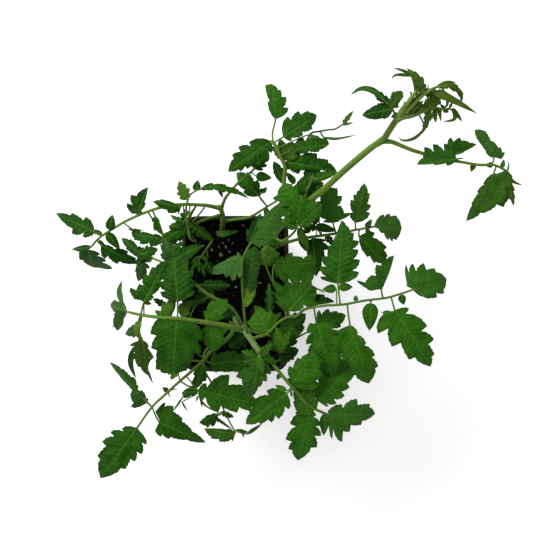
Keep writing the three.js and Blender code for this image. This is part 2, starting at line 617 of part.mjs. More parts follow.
// ---------------------------------------------------------------- materials and nodes
const finish = (color, roughness) => new THREE.MeshStandardMaterial({ color, roughness, metalness: 0 });
const potPlastic = finish(0x141414, 0.5);
const pottingSoil = finish(0x1d1712, 1);
const smoothStem = finish(0x6f9440, 0.7);
const furryStem = finish(0x87a466, 0.8);
const leafGreen = finish(0x35702a, 0.75);
const youngGreen = finish(0x4a7a2e, 0.75);

const plant = new THREE.Group();

function addNode(name, solid, material) {
  const mesh = new THREE.Mesh(geometryOf(solid), material);
  mesh.name = name;
  plant.add(mesh);
}

addNode('pot', potSolid(), potPlastic);
addNode('soil', soil, pottingSoil);
addNode('stem_main', stemMain.solid, smoothStem);
addNode('stem_centre', stemCentre.solid, furryStem);
addNode('stem_northwest', stemNorthwest.solid, smoothStem);
addNode('young_shoot', youngShoot, youngGreen);
for (const leaves of [northwestLeaves, mainLeaves, centreLeaves]) {
  for (const [name, solid] of Object.entries(leaves)) {
    addNode(name, solid, name.startsWith('tip') ? youngGreen : leafGreen);
  }
}

export default plant;
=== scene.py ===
import math
import random

import bmesh
import bpy
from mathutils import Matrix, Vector, noise
from mathutils.geometry import interpolate_bezier
from numpy import interp


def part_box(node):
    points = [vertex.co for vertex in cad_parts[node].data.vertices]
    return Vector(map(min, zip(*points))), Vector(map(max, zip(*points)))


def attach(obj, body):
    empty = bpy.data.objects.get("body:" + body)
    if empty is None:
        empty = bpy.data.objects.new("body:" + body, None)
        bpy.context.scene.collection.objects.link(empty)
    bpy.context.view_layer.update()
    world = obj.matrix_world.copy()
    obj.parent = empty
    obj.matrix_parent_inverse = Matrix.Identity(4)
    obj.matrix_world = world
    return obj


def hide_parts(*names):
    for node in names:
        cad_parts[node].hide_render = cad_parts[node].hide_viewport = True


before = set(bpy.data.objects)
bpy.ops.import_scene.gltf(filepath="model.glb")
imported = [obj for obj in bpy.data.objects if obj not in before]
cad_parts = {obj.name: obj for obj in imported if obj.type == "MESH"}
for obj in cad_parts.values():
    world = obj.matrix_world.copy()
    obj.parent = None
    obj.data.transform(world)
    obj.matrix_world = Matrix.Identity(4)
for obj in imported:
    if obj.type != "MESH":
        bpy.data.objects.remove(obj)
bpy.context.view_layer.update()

# ---------------------------------------------------------------- where the plant is seen from
# The plant is seen from straight above, by an eye well over its pot. Places are given as mm east
# and south on a square plan that lies at the height of the pot's rim, and as mm above the ground.
# What stands above the rim is drawn in towards the middle of the plan.
MM = 0.001
PLAN_SIDE = 533
EYE_ABOVE_RIM = 1400
POT_EAST, POT_SOUTH = 235.25, 293.75
POT_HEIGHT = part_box("pot")[1].z / MM


def place(east, south, height):
    """A place on the plan as a point of the plant, in metres."""
    drawn_in = (POT_HEIGHT + EYE_ABOVE_RIM - height) / EYE_ABOVE_RIM
    x = PLAN_SIDE / 2 + (east - PLAN_SIDE / 2) * drawn_in - POT_EAST
    y = POT_SOUTH - PLAN_SIDE / 2 - (south - PLAN_SIDE / 2) * drawn_in
    return Vector((x, y, height)) * MM


lens = bpy.data.cameras.new("camera")
lens.sensor_width = 36
lens.lens = lens.sensor_width * EYE_ABOVE_RIM / PLAN_SIDE
camera = bpy.data.objects.new("camera", lens)
camera.location = place(PLAN_SIDE / 2, PLAN_SIDE / 2, POT_HEIGHT + EYE_ABOVE_RIM)
bpy.context.scene.collection.objects.link(camera)
bpy.context.scene.camera = camera

# ---------------------------------------------------------------- table and light
# A white table, lit by an even white sky and one large soft lamp, so that shadows stay faint. The
# table glows a little, which keeps it evenly white up to the edge of the picture.
TABLE_HALF_SIDE = 3
TABLE_WHITE = (0.8, 0.8, 0.8, 1)
TABLE_GLOW = 0.6
SKY_BRIGHTNESS = 0.38
LAMP_SIDE = 2.6
LAMP_POWER = 140
LAMP_PLACE = (-1.9, 2.0, 2.9)


def new_finish(name, roughness, **constants):
    """A material with its shader's constants set. Returns the material, its nodes and its shader."""
    material = bpy.data.materials.new(name)
    material.use_nodes = True
    shader = material.node_tree.nodes["Principled BSDF"]
    shader.inputs["Roughness"].default_value = roughness
    for socket, value in constants.items():
        shader.inputs[socket.replace("_", " ")].default_value = value
    return material, material.node_tree, shader


def new_object(name, bm, finishes=()):
    """An object whose mesh is made from a bmesh, which is freed."""
    mesh = bpy.data.meshes.new(name)
    bm.to_mesh(mesh)
    bm.free()
    for finish in finishes:
        mesh.materials.append(finish)
    made = bpy.data.objects.new(name, mesh)
    bpy.context.scene.collection.objects.link(made)
    return made


table_white, _, _ = new_finish(
    "table_white", 0.9, Base_Color=TABLE_WHITE, Emission_Color=TABLE_WHITE,
    Emission_Strength=TABLE_GLOW)
bm = bmesh.new()
bmesh.ops.create_grid(bm, x_segments=1, y_segments=1, size=TABLE_HALF_SIDE)
new_object("table", bm, [table_white])

sky = bpy.data.worlds.new("sky")
sky.use_nodes = True
sky.node_tree.nodes["Background"].inputs["Color"].default_value = (1, 1, 1, 1)
sky.node_tree.nodes["Background"].inputs["Strength"].default_value = SKY_BRIGHTNESS
bpy.context.scene.world = sky
bpy.context.scene.view_settings.view_transform = "Standard"

lamp_light = bpy.data.lights.new("lamp", "AREA")
lamp_light.size = LAMP_SIDE
lamp_light.energy = LAMP_POWER
lamp = bpy.data.objects.new("lamp", lamp_light)
lamp.location = LAMP_PLACE
lamp.rotation_euler = (-Vector(LAMP_PLACE)).to_track_quat("-Z", "Y").to_euler()
bpy.context.scene.collection.objects.link(lamp)

# ---------------------------------------------------------------- pot
# A small rectangular nursery pot, moulded in thin black plastic. Its wall draws in towards the
# floor, the rim is turned out and rounded over, and four holes near the floor's corners drain it.
POT_LENGTH = (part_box("pot")[1].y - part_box("pot")[0].y) / MM
POT_WIDTH = (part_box("pot")[1].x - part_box("pot")[0].x) / MM
POT_CORNER = 13
POT_BOW = 0.7  # how far the middle of each side stands out
FLOOR_SCALE = 0.86
CORNER_SHARE = 0.15  # share of a quarter of the rim that its rounded corner takes, on either side
POT_COLUMNS = 96
DRAIN_RADIUS = 5
DRAIN_OUT = (24, 44)
DRILL_LENGTH = 12
FLAT_FLOOR = 0.99  # a face whose normal is this upright belongs to the floor
DUST_FADES = (90, 104)  # the wall is dusty up to the first height, nearly clean from the second
# The wall's section, from the middle of the outer floor to the inner floor: how far in from the
# rim's edge, and how high.
POT_SECTION = (
    (5.2, 0), (3.6, 0.2), (2.8, 0.9), (2.5, 2.2), (2.5, 20), (2.5, 45), (2.5, 70), (2.5, 90),
    (2.5, 101.6), (2.3, 102.6), (1.6, 103), (0.5, 103.1), (0.1, 103.5), (0, 104.2), (0, 108.3),
    (0.25, 109.3), (0.8, 109.85), (1.5, 110), (2.8, 110), (3.5, 109.8), (3.95, 109.2), (4.1, 108.2),
    (4.1, 100), (4.1, 85), (4.1, 60), (4.1, 30), (4.1, 6), (4.4, 3.6), (5.2, 2.5), (6.4, 2.2),
)


def on_rounded_rectangle(turn, half_width, half_length, corner):
    """Where a rounded rectangle stands after a share of a turn from +X, anticlockwise."""
    quarter, share = divmod(turn * 4, 1)
    if quarter % 2:
        share = 1 - share
    straight = 0.5 - CORNER_SHARE
    bend = min(max((share - straight) / (2 * CORNER_SHARE), 0), 1) * math.pi / 2
    x = half_width - corner + corner * math.cos(bend)
    y = half_length - corner + corner * math.sin(bend)
    if share < straight:
        y *= share / straight
    if share > 1 - straight:
        x *= (1 - share) / straight
    west = quarter in (1, 2)
    south = quarter in (2, 3)
    return Vector((-x if west else x, -y if south else y, 0))


def wrap(bm, columns, rows, point_at):
    """A grid of faces whose corners are moved to point_at(i, j). Returns (corner, i, j) for each."""
    corners = []
    for corner in bmesh.ops.create_grid(bm, x_segments=columns, y_segments=rows, size=1)["verts"]:
        i = round((corner.co.x + 1) / 2 * columns)
        j = round((corner.co.y + 1) / 2 * rows)
        corner.co = point_at(i, j)
        corners.append((corner, i, j))
    return corners


def pot_wall(i, j):
    """Where the pot's wall passes, at one of its columns and one corner of its section."""
    inset, height = POT_SECTION[j]
    turn = i % POT_COLUMNS / POT_COLUMNS
    point = on_rounded_rectangle(
        turn, POT_WIDTH / 2 - inset, POT_LENGTH / 2 - inset, POT_CORNER - inset)
    bow = POT_BOW * math.cos(4 * math.pi * turn) * height / POT_HEIGHT
    point *= FLOOR_SCALE + (1 - FLOOR_SCALE) * height / POT_HEIGHT
    point.x += 2 * point.x / POT_WIDTH * max(bow, 0)
    point.y += 2 * point.y / POT_LENGTH * max(-bow, 0)
    point.z = height
    return point * MM


def new_piece(name, bm, finishes, slot, *nodes):
    """A piece of the plant from its bmesh. It stands for the nodes named and rides on the root."""
    for face in bm.faces:
        face.smooth = True
    piece = new_object(name, bm, finishes)
    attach(piece, "root")
    if nodes:
        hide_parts(*nodes)
    return piece


def add_node(tree, kind, settings, inputs):
    """A node of a material. Its inputs are set to values or joined to other nodes' outputs."""
    made = tree.nodes.new("ShaderNode" + kind)
    for name, value in settings.items():
        setattr(made, name, value)
    for name, value in inputs.items():
        if isinstance(value, bpy.types.NodeSocket):
            tree.links.new(value, made.inputs[name])
        else:
            made.inputs[name].default_value = value
    return made


def between(tree, share, first, second):
    """A colour between two others, by a mask."""
    return add_node(tree, "Mix", {"data_type": "RGBA"}, {0: share, 6: first, 7: second}).outputs[2]


def combined(tree, operation, *values):
    """What an operation of arithmetic makes of values or masks."""
    return add_node(tree, "Math", {"operation": operation}, dict(enumerate(values))).outputs[0]


def spread(tree, value, low, high, to_low=0.0, to_high=1.0):
    """A value between low and high, spread smoothly over a new range."""
    return add_node(tree, "MapRange", {"interpolation_type": "SMOOTHSTEP"}, {
        "Value": value, "From Min": low, "From Max": high, "To Min": to_low, "To Max": to_high,
    }).outputs[0]


def object_place(tree):
    """The place of a point of the surface, in the piece's own metres."""
    return add_node(tree, "TexCoord", {}, {}).outputs["Object"]


def parts_of(tree, vector):
    """The outputs X, Y and Z of a vector."""
    return add_node(tree, "SeparateXYZ", {}, {0: vector}).outputs


def stored(tree, name):
    """What the corners of a mesh carry under a name."""
    return add_node(tree, "Attribute", {"attribute_name": name}, {}).outputs["Vector"]


def new_group(name, inputs, outputs):
    """A group of nodes with named numbers going in and out. Returns it and its two ends."""
    group = bpy.data.node_groups.new(name, "ShaderNodeTree")
    for way, sockets in (("INPUT", inputs), ("OUTPUT", outputs)):
        for socket in sockets:
            group.interface.new_socket(socket, in_out=way, socket_type="NodeSocketFloat")
    return group, group.nodes.new("NodeGroupInput").outputs, group.nodes.new("NodeGroupOutput").inputs


# Soft blotches and fine grain, which nearly every finish of the plant shares.
mottle, given, result = new_group("mottle", ("Blotch Size", "Grain Size"), ("Blotches", "Grain"))
for size, mask in (("Blotch Size", "Blotches"), ("Grain Size", "Grain")):
    cloud = add_node(mottle, "TexNoise", {}, {
        "Vector": object_place(mottle), "Scale": combined(mottle, "DIVIDE", 1.0, given[size]),
        "Detail": 3.0, "Roughness": 0.55})
    clear = add_node(mottle, "MapRange", {}, {
        "Value": cloud.outputs[0], "From Min": 0.32, "From Max": 0.68})
    mottle.links.new(clear.outputs[0], result[mask])


def add_group(tree, group, **sizes):
    """A group in a material, with its sizes in mm. Returns its outputs."""
    made = tree.nodes.new("ShaderNodeGroup")
    made.node_tree = group
    for name, size in sizes.items():
        made.inputs[name.replace("_", " ")].default_value = size * MM
    return made.outputs


def finish_surface(tree, shader, colour, wear, smoothest, roughest, height, depth):
    """Gives a shader its colour, a roughness that follows a mask, and dents of a depth in mm."""
    tree.links.new(colour, shader.inputs["Base Color"])
    tree.links.new(spread(tree, wear, 0, 1, smoothest, roughest), shader.inputs["Roughness"])
    relief = add_node(tree, "Bump", {}, {"Height": height, "Distance": depth * MM, "Strength": 1.0})
    tree.links.new(relief.outputs[0], shader.inputs["Normal"])


# Blotches of dust and dried soil cling to the wall, and hardly any to the rim.
pot_plastic, tree, shader = new_finish("pot_plastic", 0.5, Specular_IOR_Level=0.25)
mottled = add_group(tree, mottle, Blotch_Size=26, Grain_Size=0.9)
height = parts_of(tree, object_place(tree))["Z"]
dustiness = spread(tree, height, DUST_FADES[0] * MM, DUST_FADES[1] * MM, 0.55, 0.08)
dust = combined(tree, "MULTIPLY", dustiness, mottled["Blotches"])
plastic = between(tree, mottled["Grain"], (0.006, 0.006, 0.006, 1), (0.012, 0.012, 0.012, 1))
dusty = between(tree, dust, plastic, (0.035, 0.028, 0.021, 1))
finish_surface(tree, shader, dusty, mottled["Blotches"], 0.42, 0.6, mottled["Grain"], 0.05)

bm = bmesh.new()
wrap(bm, POT_COLUMNS, len(POT_SECTION) - 1, pot_wall)
bmesh.ops.remove_doubles(bm, verts=bm.verts, dist=0.001 * MM)
bmesh.ops.holes_fill(bm, edges=[edge for edge in bm.edges if edge.is_boundary])
bmesh.ops.recalc_face_normals(bm, faces=bm.faces)
pot = new_piece("pot_body", bm, [pot_plastic], "pot_plastic", "pot")
bm = bmesh.new()
for east in (-DRAIN_OUT[0], DRAIN_OUT[0]):
    for north in (-DRAIN_OUT[1], DRAIN_OUT[1]):
        bore = bmesh.ops.create_cone(
            bm, segments=32, cap_ends=True, radius1=DRAIN_RADIUS * MM, radius2=DRAIN_RADIUS * MM,
            depth=DRILL_LENGTH * MM)["verts"]
        bmesh.ops.translate(bm, verts=bore, vec=(east * MM, north * MM, 0))
drill = new_object("drill", bm)
holes = pot.modifiers.new("drain_holes", "BOOLEAN")
holes.object = drill
holes.operation = "DIFFERENCE"
drained = bpy.data.meshes.new_from_object(
    pot.evaluated_get(bpy.context.evaluated_depsgraph_get()))
pot.modifiers.clear()
pot.data = drained
bpy.data.objects.remove(drill)
for polygon in pot.data.polygons:
    polygon.use_smooth = abs(polygon.normal.z) < FLAT_FLOOR

# ---------------------------------------------------------------- potting soil
# Dark potting mix that fills the pot to just under its mouth: a block with a lumpy top, loose
# crumbs of peat and bark on it, and pale perlite grains that lie half sunk among the crumbs.
soil_low, soil_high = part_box("soil")
SOIL_TOP = soil_high.z / MM
SOIL_CORNER = 9
SOIL_FOOT_SCALE = 0.88
SOIL_COLUMNS, SOIL_ROWS = 96, 140
LUMP_HEIGHT = 1.6
LUMP_WIDTH = 9
LUMPS_UNDER = 0.4  # how far the lumps' mean height is under the soil's top
CRUMBS = 1500
CRUMB_SIZES = (0.5, 1.9)
GRAINS = 44
GRAIN_SIZES = (0.4, 1.2)
SMALL_ONES = 2.2  # the higher this power, the more crumbs and grains are small
STRETCHES = (0.75, 1.35)  # the least and the most that a lump is stretched one way
DENT = 0.45
DENT_FINENESS = 1.7
# The grains that lie in the open: east, south and radius.
OPEN_GRAINS = (
    (221, 255, 2), (226, 247, 1.5), (212, 250, 1.2), (229, 240, 1.3), (219, 247, 1.1),
    (203, 246, 1.2), (232, 245, 0.9), (230, 252, 1), (223, 243, 0.9), (210, 236, 0.9),
    (213, 224, 0.9), (244, 226, 1), (236, 287, 1.3), (235, 279, 1), (260, 283, 1.1),
    (216, 327, 1), (230, 322, 1.2),
)
chance = random.Random(7)


def soil_height(x, y):
    """Height of the soil's surface in mm over a point in mm."""
    lumps = noise.fractal(Vector((x, y, 3)) / LUMP_WIDTH, 0.9, 2.1, 5)
    return SOIL_TOP - LUMPS_UNDER + LUMP_HEIGHT * lumps


def soil_surface(i, j):
    """Where a corner of the soil's square grid lies, pulled in round the pot's corners."""
    x = soil_low.x / MM * (1 - 2 * i / SOIL_COLUMNS)
    y = soil_low.y / MM * (1 - 2 * j / SOIL_ROWS)
    past = Vector((
        max(abs(x) - soil_high.x / MM + SOIL_CORNER, 0),
        max(abs(y) - soil_high.y / MM + SOIL_CORNER, 0)))
    if past.x > 0 and past.y > 0:
        pulled = past * (max(past) / past.length)
        x -= math.copysign(past.x - pulled.x, x)
        y -= math.copysign(past.y - pulled.y, y)
    return Vector((x, y, soil_height(x, y))) * MM


def copies(bm, number):
    """The mesh of a bmesh many times over, as one bmesh, and the corners of each copy."""
    carrier = new_object("shape", bm)
    row = carrier.modifiers.new("row", "ARRAY")
    row.count = number
    row.use_relative_offset = False
    row.use_constant_offset = True
    row.constant_offset_displace = (0, 0, 0)
    made = bmesh.new()
    made.from_object(carrier, bpy.context.evaluated_depsgraph_get())
    bpy.data.objects.remove(carrier)
    made.verts.ensure_lookup_table()
    each = len(made.verts) // number
    return made, [made.verts[k * each:(k + 1) * each] for k in range(number)]


def scatter(fineness, spots, flatness):
    """Lumps from one small ball, one at each (point, radius). Every lump is dented its own way."""
    ball = bmesh.new()
    bmesh.ops.create_icosphere(ball, subdivisions=fineness, radius=1)
    ball.verts.layers.float_vector.new("grain")
    lumps, each = copies(ball, len(spots))
    tone = lumps.verts.layers.float_vector["grain"]
    for vertices, (point, radius) in zip(each, spots):
        turn = chance.random() * math.tau
        stretch = chance.uniform(*STRETCHES)
        shade = chance.random()
        for vertex in vertices:
            dent = 1 + DENT * noise.noise(vertex.co * DENT_FINENESS + point / MM)
            x = vertex.co.x * stretch
            y = vertex.co.y / stretch
            turned = Vector((
                x * math.cos(turn) - y * math.sin(turn),
                x * math.sin(turn) + y * math.cos(turn),
                vertex.co.z * flatness))
            vertex.co = point + turned * dent * radius * MM
            vertex[tone] = (shade, dent, 0)
    return lumps


def on_soil(x, y, radius, sunk):
    """A lump's middle on the soil, with its radius. It is sunk by a share of the radius."""
    return Vector((x, y, soil_height(x, y) + radius * (0.6 - sunk))) * MM, radius


def anywhere(sizes):
    """A random spot of the soil with a random radius, small ones more often."""
    radius = sizes[0] + (sizes[1] - sizes[0]) * chance.random() ** SMALL_ONES
    x = chance.uniform(soil_low.x, soil_high.x) / MM
    y = chance.uniform(soil_low.y, soil_high.y) / MM
    edge = on_rounded_rectangle(
        math.atan2(y, x) / math.tau % 1, soil_high.x / MM, soil_high.y / MM, SOIL_CORNER)
    inside = min(1, 0.97 * edge.length / math.hypot(x, y))
    return on_soil(x * inside, y * inside, radius, 0.35)


# Nearly black peat with browner bark. Some crumbs are lit, each by its own draw.
potting_soil, tree, shader = new_finish("potting_soil", 0.95, Specular_IOR_Level=0.02)
mottled = add_group(tree, mottle, Blotch_Size=5, Grain_Size=0.7)
peat = between(
    tree, mottled["Blotches"], (0.0005, 0.00045, 0.0004, 1), (0.003, 0.0025, 0.002, 1))
bark = between(tree, mottled["Grain"], peat, (0.006, 0.0048, 0.0038, 1))
own_tone = parts_of(tree, stored(tree, "grain"))["X"]
lit = between(
    tree, combined(tree, "MULTIPLY", own_tone, mottled["Grain"]), bark, (0.03, 0.026, 0.022, 1))
finish_surface(tree, shader, lit, mottled["Blotches"], 0.8, 1, mottled["Grain"], 0.35)

perlite_white, tree, shader = new_finish("perlite_white", 1, Specular_IOR_Level=0.1)
mottled = add_group(tree, mottle, Blotch_Size=2.2, Grain_Size=0.45)
dirt = between(tree, mottled["Blotches"], (0.17, 0.16, 0.15, 1), (0.05, 0.045, 0.04, 1))
white = between(tree, mottled["Grain"], dirt, (0.32, 0.31, 0.29, 1))
finish_surface(tree, shader, white, mottled["Grain"], 0.85, 1, mottled["Grain"], 0.2)

bm = bmesh.new()
wrap(bm, SOIL_COLUMNS, SOIL_ROWS, soil_surface)
skirt = bmesh.ops.extrude_edge_only(bm, edges=[edge for edge in bm.edges if edge.is_boundary])
for part in skirt["geom"]:
    if isinstance(part, bmesh.types.BMVert):
        part.co.x *= SOIL_FOOT_SCALE
        part.co.y *= SOIL_FOOT_SCALE
        part.co.z = soil_low.z
bmesh.ops.holes_fill(bm, edges=[edge for edge in bm.edges if edge.is_boundary])
bmesh.ops.recalc_face_normals(bm, faces=bm.faces)
new_piece("soil_block", bm, [potting_soil], "potting_soil", "soil")

crumbs = scatter(1, [anywhere(CRUMB_SIZES) for _ in range(CRUMBS)], 0.75)
new_piece("soil_crumbs", crumbs, [potting_soil], "potting_soil")

spots = [anywhere(GRAIN_SIZES) for _ in range(GRAINS)]
for east, south, radius in OPEN_GRAINS:
    point = place(east, south, SOIL_TOP) / MM
    spots.append(on_soil(point.x, point.y, radius, 0))
new_piece("perlite_grains", scatter(2, spots, 0.8), [perlite_white], "potting_soil")

# ---------------------------------------------------------------- stems
# Three soft green stems, each a rod that thins towards its top, with a slight swelling where a leaf
# leaves it and a wider foot in the soil. They are ribbed, and covered in short pale hairs.
STEM_SIDES = 14
RIBS = 5  # shallow ribs round a stem
RIB_DEPTH = 0.05
RIB_TWIST = 25  # mm of stem in which its ribs turn by a radian
FOOT_FLARE = 0.35  # share that a stem is wider at the soil
FLARE_FADES = 7
COLLAR = 0.16  # share that a stem is wider where a leaf leaves it
COLLAR_REACH = 4
HAIR_RADIUS = 0.035
HAIR_LEAN = 0.3
HAIR_SPREAD = (0.6, 1.25)  # the shortest and longest hair, as a share of the usual length
HAIR_FOOT = 0.9  # hairs start this far out from the spine, as a share of the radius


def smooth_path(points, steps):
    """Points on a smooth curve through the given ones, a number of steps from one to the next."""
    spine = [points[0]]
    for k in range(len(points) - 1):
        start, end = points[k], points[k + 1]
        reach = (end - start).length / 3
        leaving = (end - points[max(k - 1, 0)]).normalized() * reach
        coming = (points[min(k + 2, len(points) - 1)] - start).normalized() * reach
        spine += interpolate_bezier(start, start + leaving, end - coming, end, steps + 1)[1:]
    return spine


def frames_along(spine):
    """Two directions across the spine at each of its points, turning as little as they can."""
    frames = []
    across = None
    for k in range(len(spine)):
        tangent = (spine[min(k + 1, len(spine) - 1)] - spine[max(k - 1, 0)]).normalized()
        across = across or tangent.orthogonal()
        across = (across - tangent * across.dot(tangent)).normalized()
        frames.append((across, tangent.cross(across)))
    return frames


def lengths_along(spine):
    """How far each point of a spine is from its start, in mm along it."""
    travelled = [0]
    for start, end in zip(spine, spine[1:]):
        travelled.append(travelled[-1] + (end - start).length / MM)
    return travelled


def new_growth():
    """An empty bmesh with what the plant's finishes read from its corners."""
    bm = bmesh.new()
    bm.verts.layers.float_vector.new("grain")
    bm.verts.layers.float_vector.new("look")
    return bm


def close_skin(bm, corners, reach, finish):
    """Closes the grid of a piece's skin where its edges meet. Returns its faces."""
    bmesh.ops.remove_doubles(bm, verts=[corner for corner, _, _ in corners], dist=reach * MM)
    faces = {face for corner, _, _ in corners if corner.is_valid for face in corner.link_faces}
    for face in faces:
        face.material_index = finish
    bmesh.ops.recalc_face_normals(bm, faces=list(faces))
    return faces


def grow_rod(bm, spine, radii, sides, tone, finish, ribs=0):
    """A round rod along a spine, closed at both ends. grain is where a corner is round it, in mm."""
    grain_of = bm.verts.layers.float_vector["grain"]
    look_of = bm.verts.layers.float_vector["look"]
    frames = frames_along(spine)
    travelled = lengths_along(spine)
    last = len(spine) - 1

    def around(i, j):
        k = min(max(j - 1, 0), last)
        turn = math.tau * (i % sides) / sides
        swell = 1 + RIB_DEPTH * math.cos(ribs * turn + travelled[k] / RIB_TWIST) if ribs else 1
        radius = radii[k] * swell if 0 < j < last + 2 else 0
        across, up = frames[k]
        return spine[k] + (across * math.cos(turn) + up * math.sin(turn)) * radius * MM

    corners = wrap(bm, sides, last + 2, around)
    for corner, i, j in corners:
        k = min(max(j - 1, 0), last)
        turn = math.tau * i / sides
        corner[grain_of] = (radii[k] * math.cos(turn), radii[k] * math.sin(turn), travelled[k])
        corner[look_of] = (0, tone, 0)
    close_skin(bm, corners, 0.001, finish)


def grow_hairs(bm, spine, radii, number, length, finish):
    """Fine hairs that stand out all round a rod, most of them of about one length, in mm."""
    frames = frames_along(spine)
    hair = bmesh.new()
    bmesh.ops.create_cone(hair, segments=3, radius1=1, radius2=0, depth=1, cap_ends=True)
    bmesh.ops.remove_doubles(hair, verts=hair.verts, dist=0.01)
    bmesh.ops.translate(hair, verts=hair.verts, vec=(0, 0, 0.5))
    hairs, each = copies(hair, number)
    for vertices in each:
        k = chance.randrange(len(spine) - 1)
        turn = chance.random() * math.tau
        across, up = frames[k]
        outward = across * math.cos(turn) + up * math.sin(turn)
        tangent = (spine[k + 1] - spine[k]).normalized()
        sideways = outward.cross(tangent)
        lean = tangent * chance.gauss(0, HAIR_LEAN) + sideways * chance.gauss(0, HAIR_LEAN)
        root = spine[k].lerp(spine[k + 1], chance.random()) + outward * radii[k] * HAIR_FOOT * MM
        reach = (outward + lean) * length * chance.uniform(*HAIR_SPREAD) * MM
        for vertex in vertices:
            thick = (tangent * vertex.co.x + sideways * vertex.co.y) * HAIR_RADIUS * MM
            vertex.co = root + reach * vertex.co.z + thick
    for face in hairs.faces:
        face.material_index = finish
    mesh = bpy.data.meshes.new("hairs")
    hairs.to_mesh(mesh)
    hairs.free()
    bm.from_mesh(mesh)
    bpy.data.meshes.remove(mesh)


def stem_finish(name, light, dark, rib_tint):
    """Soft stem skin: long pale streaks over green, and blotches where the skin is older."""
    finish, tree, shader = new_finish(name, 0.6, Specular_IOR_Level=0.15)
    mottled = add_group(tree, mottle, Blotch_Size=14, Grain_Size=0.6)
    stretched = add_node(tree, "Mapping", {}, {
        "Vector": stored(tree, "grain"), "Scale": (2.2, 2.2, 0.12)}).outputs[0]
    streaks = add_node(tree, "TexNoise", {}, {"Vector": stretched, "Scale": 1.0, "Detail": 3.0})
    streaked = spread(tree, streaks.outputs[0], 0.35, 0.65)
    stout = parts_of(tree, stored(tree, "look"))["Y"]
    aged = spread(tree, mottled["Blotches"], 0, 1, 0.4, 1)
    green = between(tree, combined(tree, "MULTIPLY", stout, aged), dark, light)
    lined = between(tree, combined(tree, "MULTIPLY", streaked, stout), green, rib_tint)
    shaded = between(tree, combined(tree, "MULTIPLY", mottled["Grain"], 0.25), lined, dark)
    finish_surface(tree, shader, shaded, mottled["Grain"], 0.5, 0.75, streaked, 0.15)
    return finish


smooth_skin = stem_finish(
    "smooth_skin", (0.12, 0.24, 0.018, 1), (0.04, 0.1, 0.006, 1), (0.17, 0.3, 0.04, 1))
furry_skin = stem_finish(
    "furry_skin", (0.13, 0.21, 0.045, 1), (0.07, 0.14, 0.02, 1), (0.22, 0.31, 0.1, 1))
pale_hair, tree, shader = new_finish("pale_hair", 0.6, Specular_IOR_Level=0.2)
blotches = add_group(tree, mottle, Blotch_Size=3, Grain_Size=0.5)["Blotches"]
tree.links.new(
    between(tree, blotches, (0.14, 0.22, 0.07, 1), (0.25, 0.33, 0.16, 1)),
    shader.inputs["Base Color"])


def new_stem(name, points, radii, joints, hairs, hair_length, skin, slot):
    """A stem through places on the plan, with the heights at which leaves leave it."""
    spine = smooth_path([place(*point) for point in points], 9)
    swollen = []
    for k, point in enumerate(spine):
        radius = radii[0] + (radii[1] - radii[0]) * k / (len(spine) - 1)
        over_soil = max(point.z - SOIL_TOP * MM, 0) / MM
        radius *= 1 + FOOT_FLARE * math.exp(-over_soil / FLARE_FADES)
        nearest = min(abs(point.z / MM - height) for height in joints)
        radius *= 1 + COLLAR * math.exp(-(nearest / COLLAR_REACH) ** 2)
        swollen.append(radius)
    bm = new_growth()
    grow_rod(bm, spine, swollen, STEM_SIDES, 1, 0, RIBS)
    first = next(k for k, point in enumerate(spine) if point.z > SOIL_TOP * MM)
    grow_hairs(bm, spine[first:], swollen[first:], hairs, hair_length, 1)
    new_piece(name + "_rod", bm, [skin, pale_hair], slot, name)
    return spine


long_stem = new_stem("stem_main", [
    (262, 264, 75), (262.5, 256, 115), (278, 230, 155), (300, 208.5, 190), (322.4, 190.4, 222),
    (345.4, 169.4, 252), (372.2, 147, 286), (383, 139.5, 300), (389.5, 130, 316), (396.5, 119.5, 330),
    (403, 112, 342),
], (3.3, 2.6), (122, 147, 172, 183, 196, 297, 334, 340), 2600, 0.6, smooth_skin, "smooth_stem")
furry_stem = new_stem("stem_centre", [
    (232, 312, 75), (235, 317, 120), (238, 322, 160), (245, 331, 205), (252, 341, 235), (259, 352, 258),
], (3.3, 2.2), (138, 148, 165, 183, 200, 219, 231, 243), 3200, 1.2, furry_skin, "furry_stem")
thin_stem = new_stem("stem_northwest", [
    (222, 229, 75), (222.5, 226, 100), (223, 219, 125), (222, 212, 145), (219, 206.5, 162),
], (2.3, 2.0), (102, 118, 138, 151, 157), 900, 0.6, smooth_skin, "smooth_stem")

# ---------------------------------------------------------------- leaves of the thin stem
# Each leaf is one piece, as it grew: a stalk with lobed leaflets to both sides and one at its end.
# A leaflet is a thin soft blade, quilted between its side veins, with a rib along its underside.
ARCH = 0.07  # rise of a midrib's middle, as a share of its length
TIP_DROOP = 0.05
DROOP_FROM = 0.6  # the share of a midrib from which its tip droops
CUP = -0.1  # how far a blade's edge drops for each mm out from the midrib
FOLDED_CUP = -3.5  # the same for the hidden side of a blade that is folded in two
HIDDEN_HALF = 1.5
VEIN_SLANT = 0.5  # a side vein leaves the midrib this far behind the lobe that it feeds
VEIN_GAP = 5.5
LEAST_STEP = 0.003
NOTCH_STEP = 0.08  # a notch lies this far past its lobe, towards the next one
LEAST_LOBE_GAP = 0.1
NOTCH_DEPTH = 0.33
# How the margin swings out before a lobe's tip, behind it, and on to the leaflet's tip: where its
# arc bulges, as a share of the way there, and how far, as a share of the reach.
SWING_TO_LOBE = (0.33, 0.95)
SWING_TO_NOTCH = (0.75, 0.9)
SWING_TO_TIP = (0.4, 1.05)
ARC_STEPS = 9
NOTCH_STEPS = 3
TEETH = (-0.15, 0.1, 0.65)  # how far the margin stands out at three corners in turn, in mm
TEETH_GROWN = 9  # mm out from the midrib at which the teeth are full
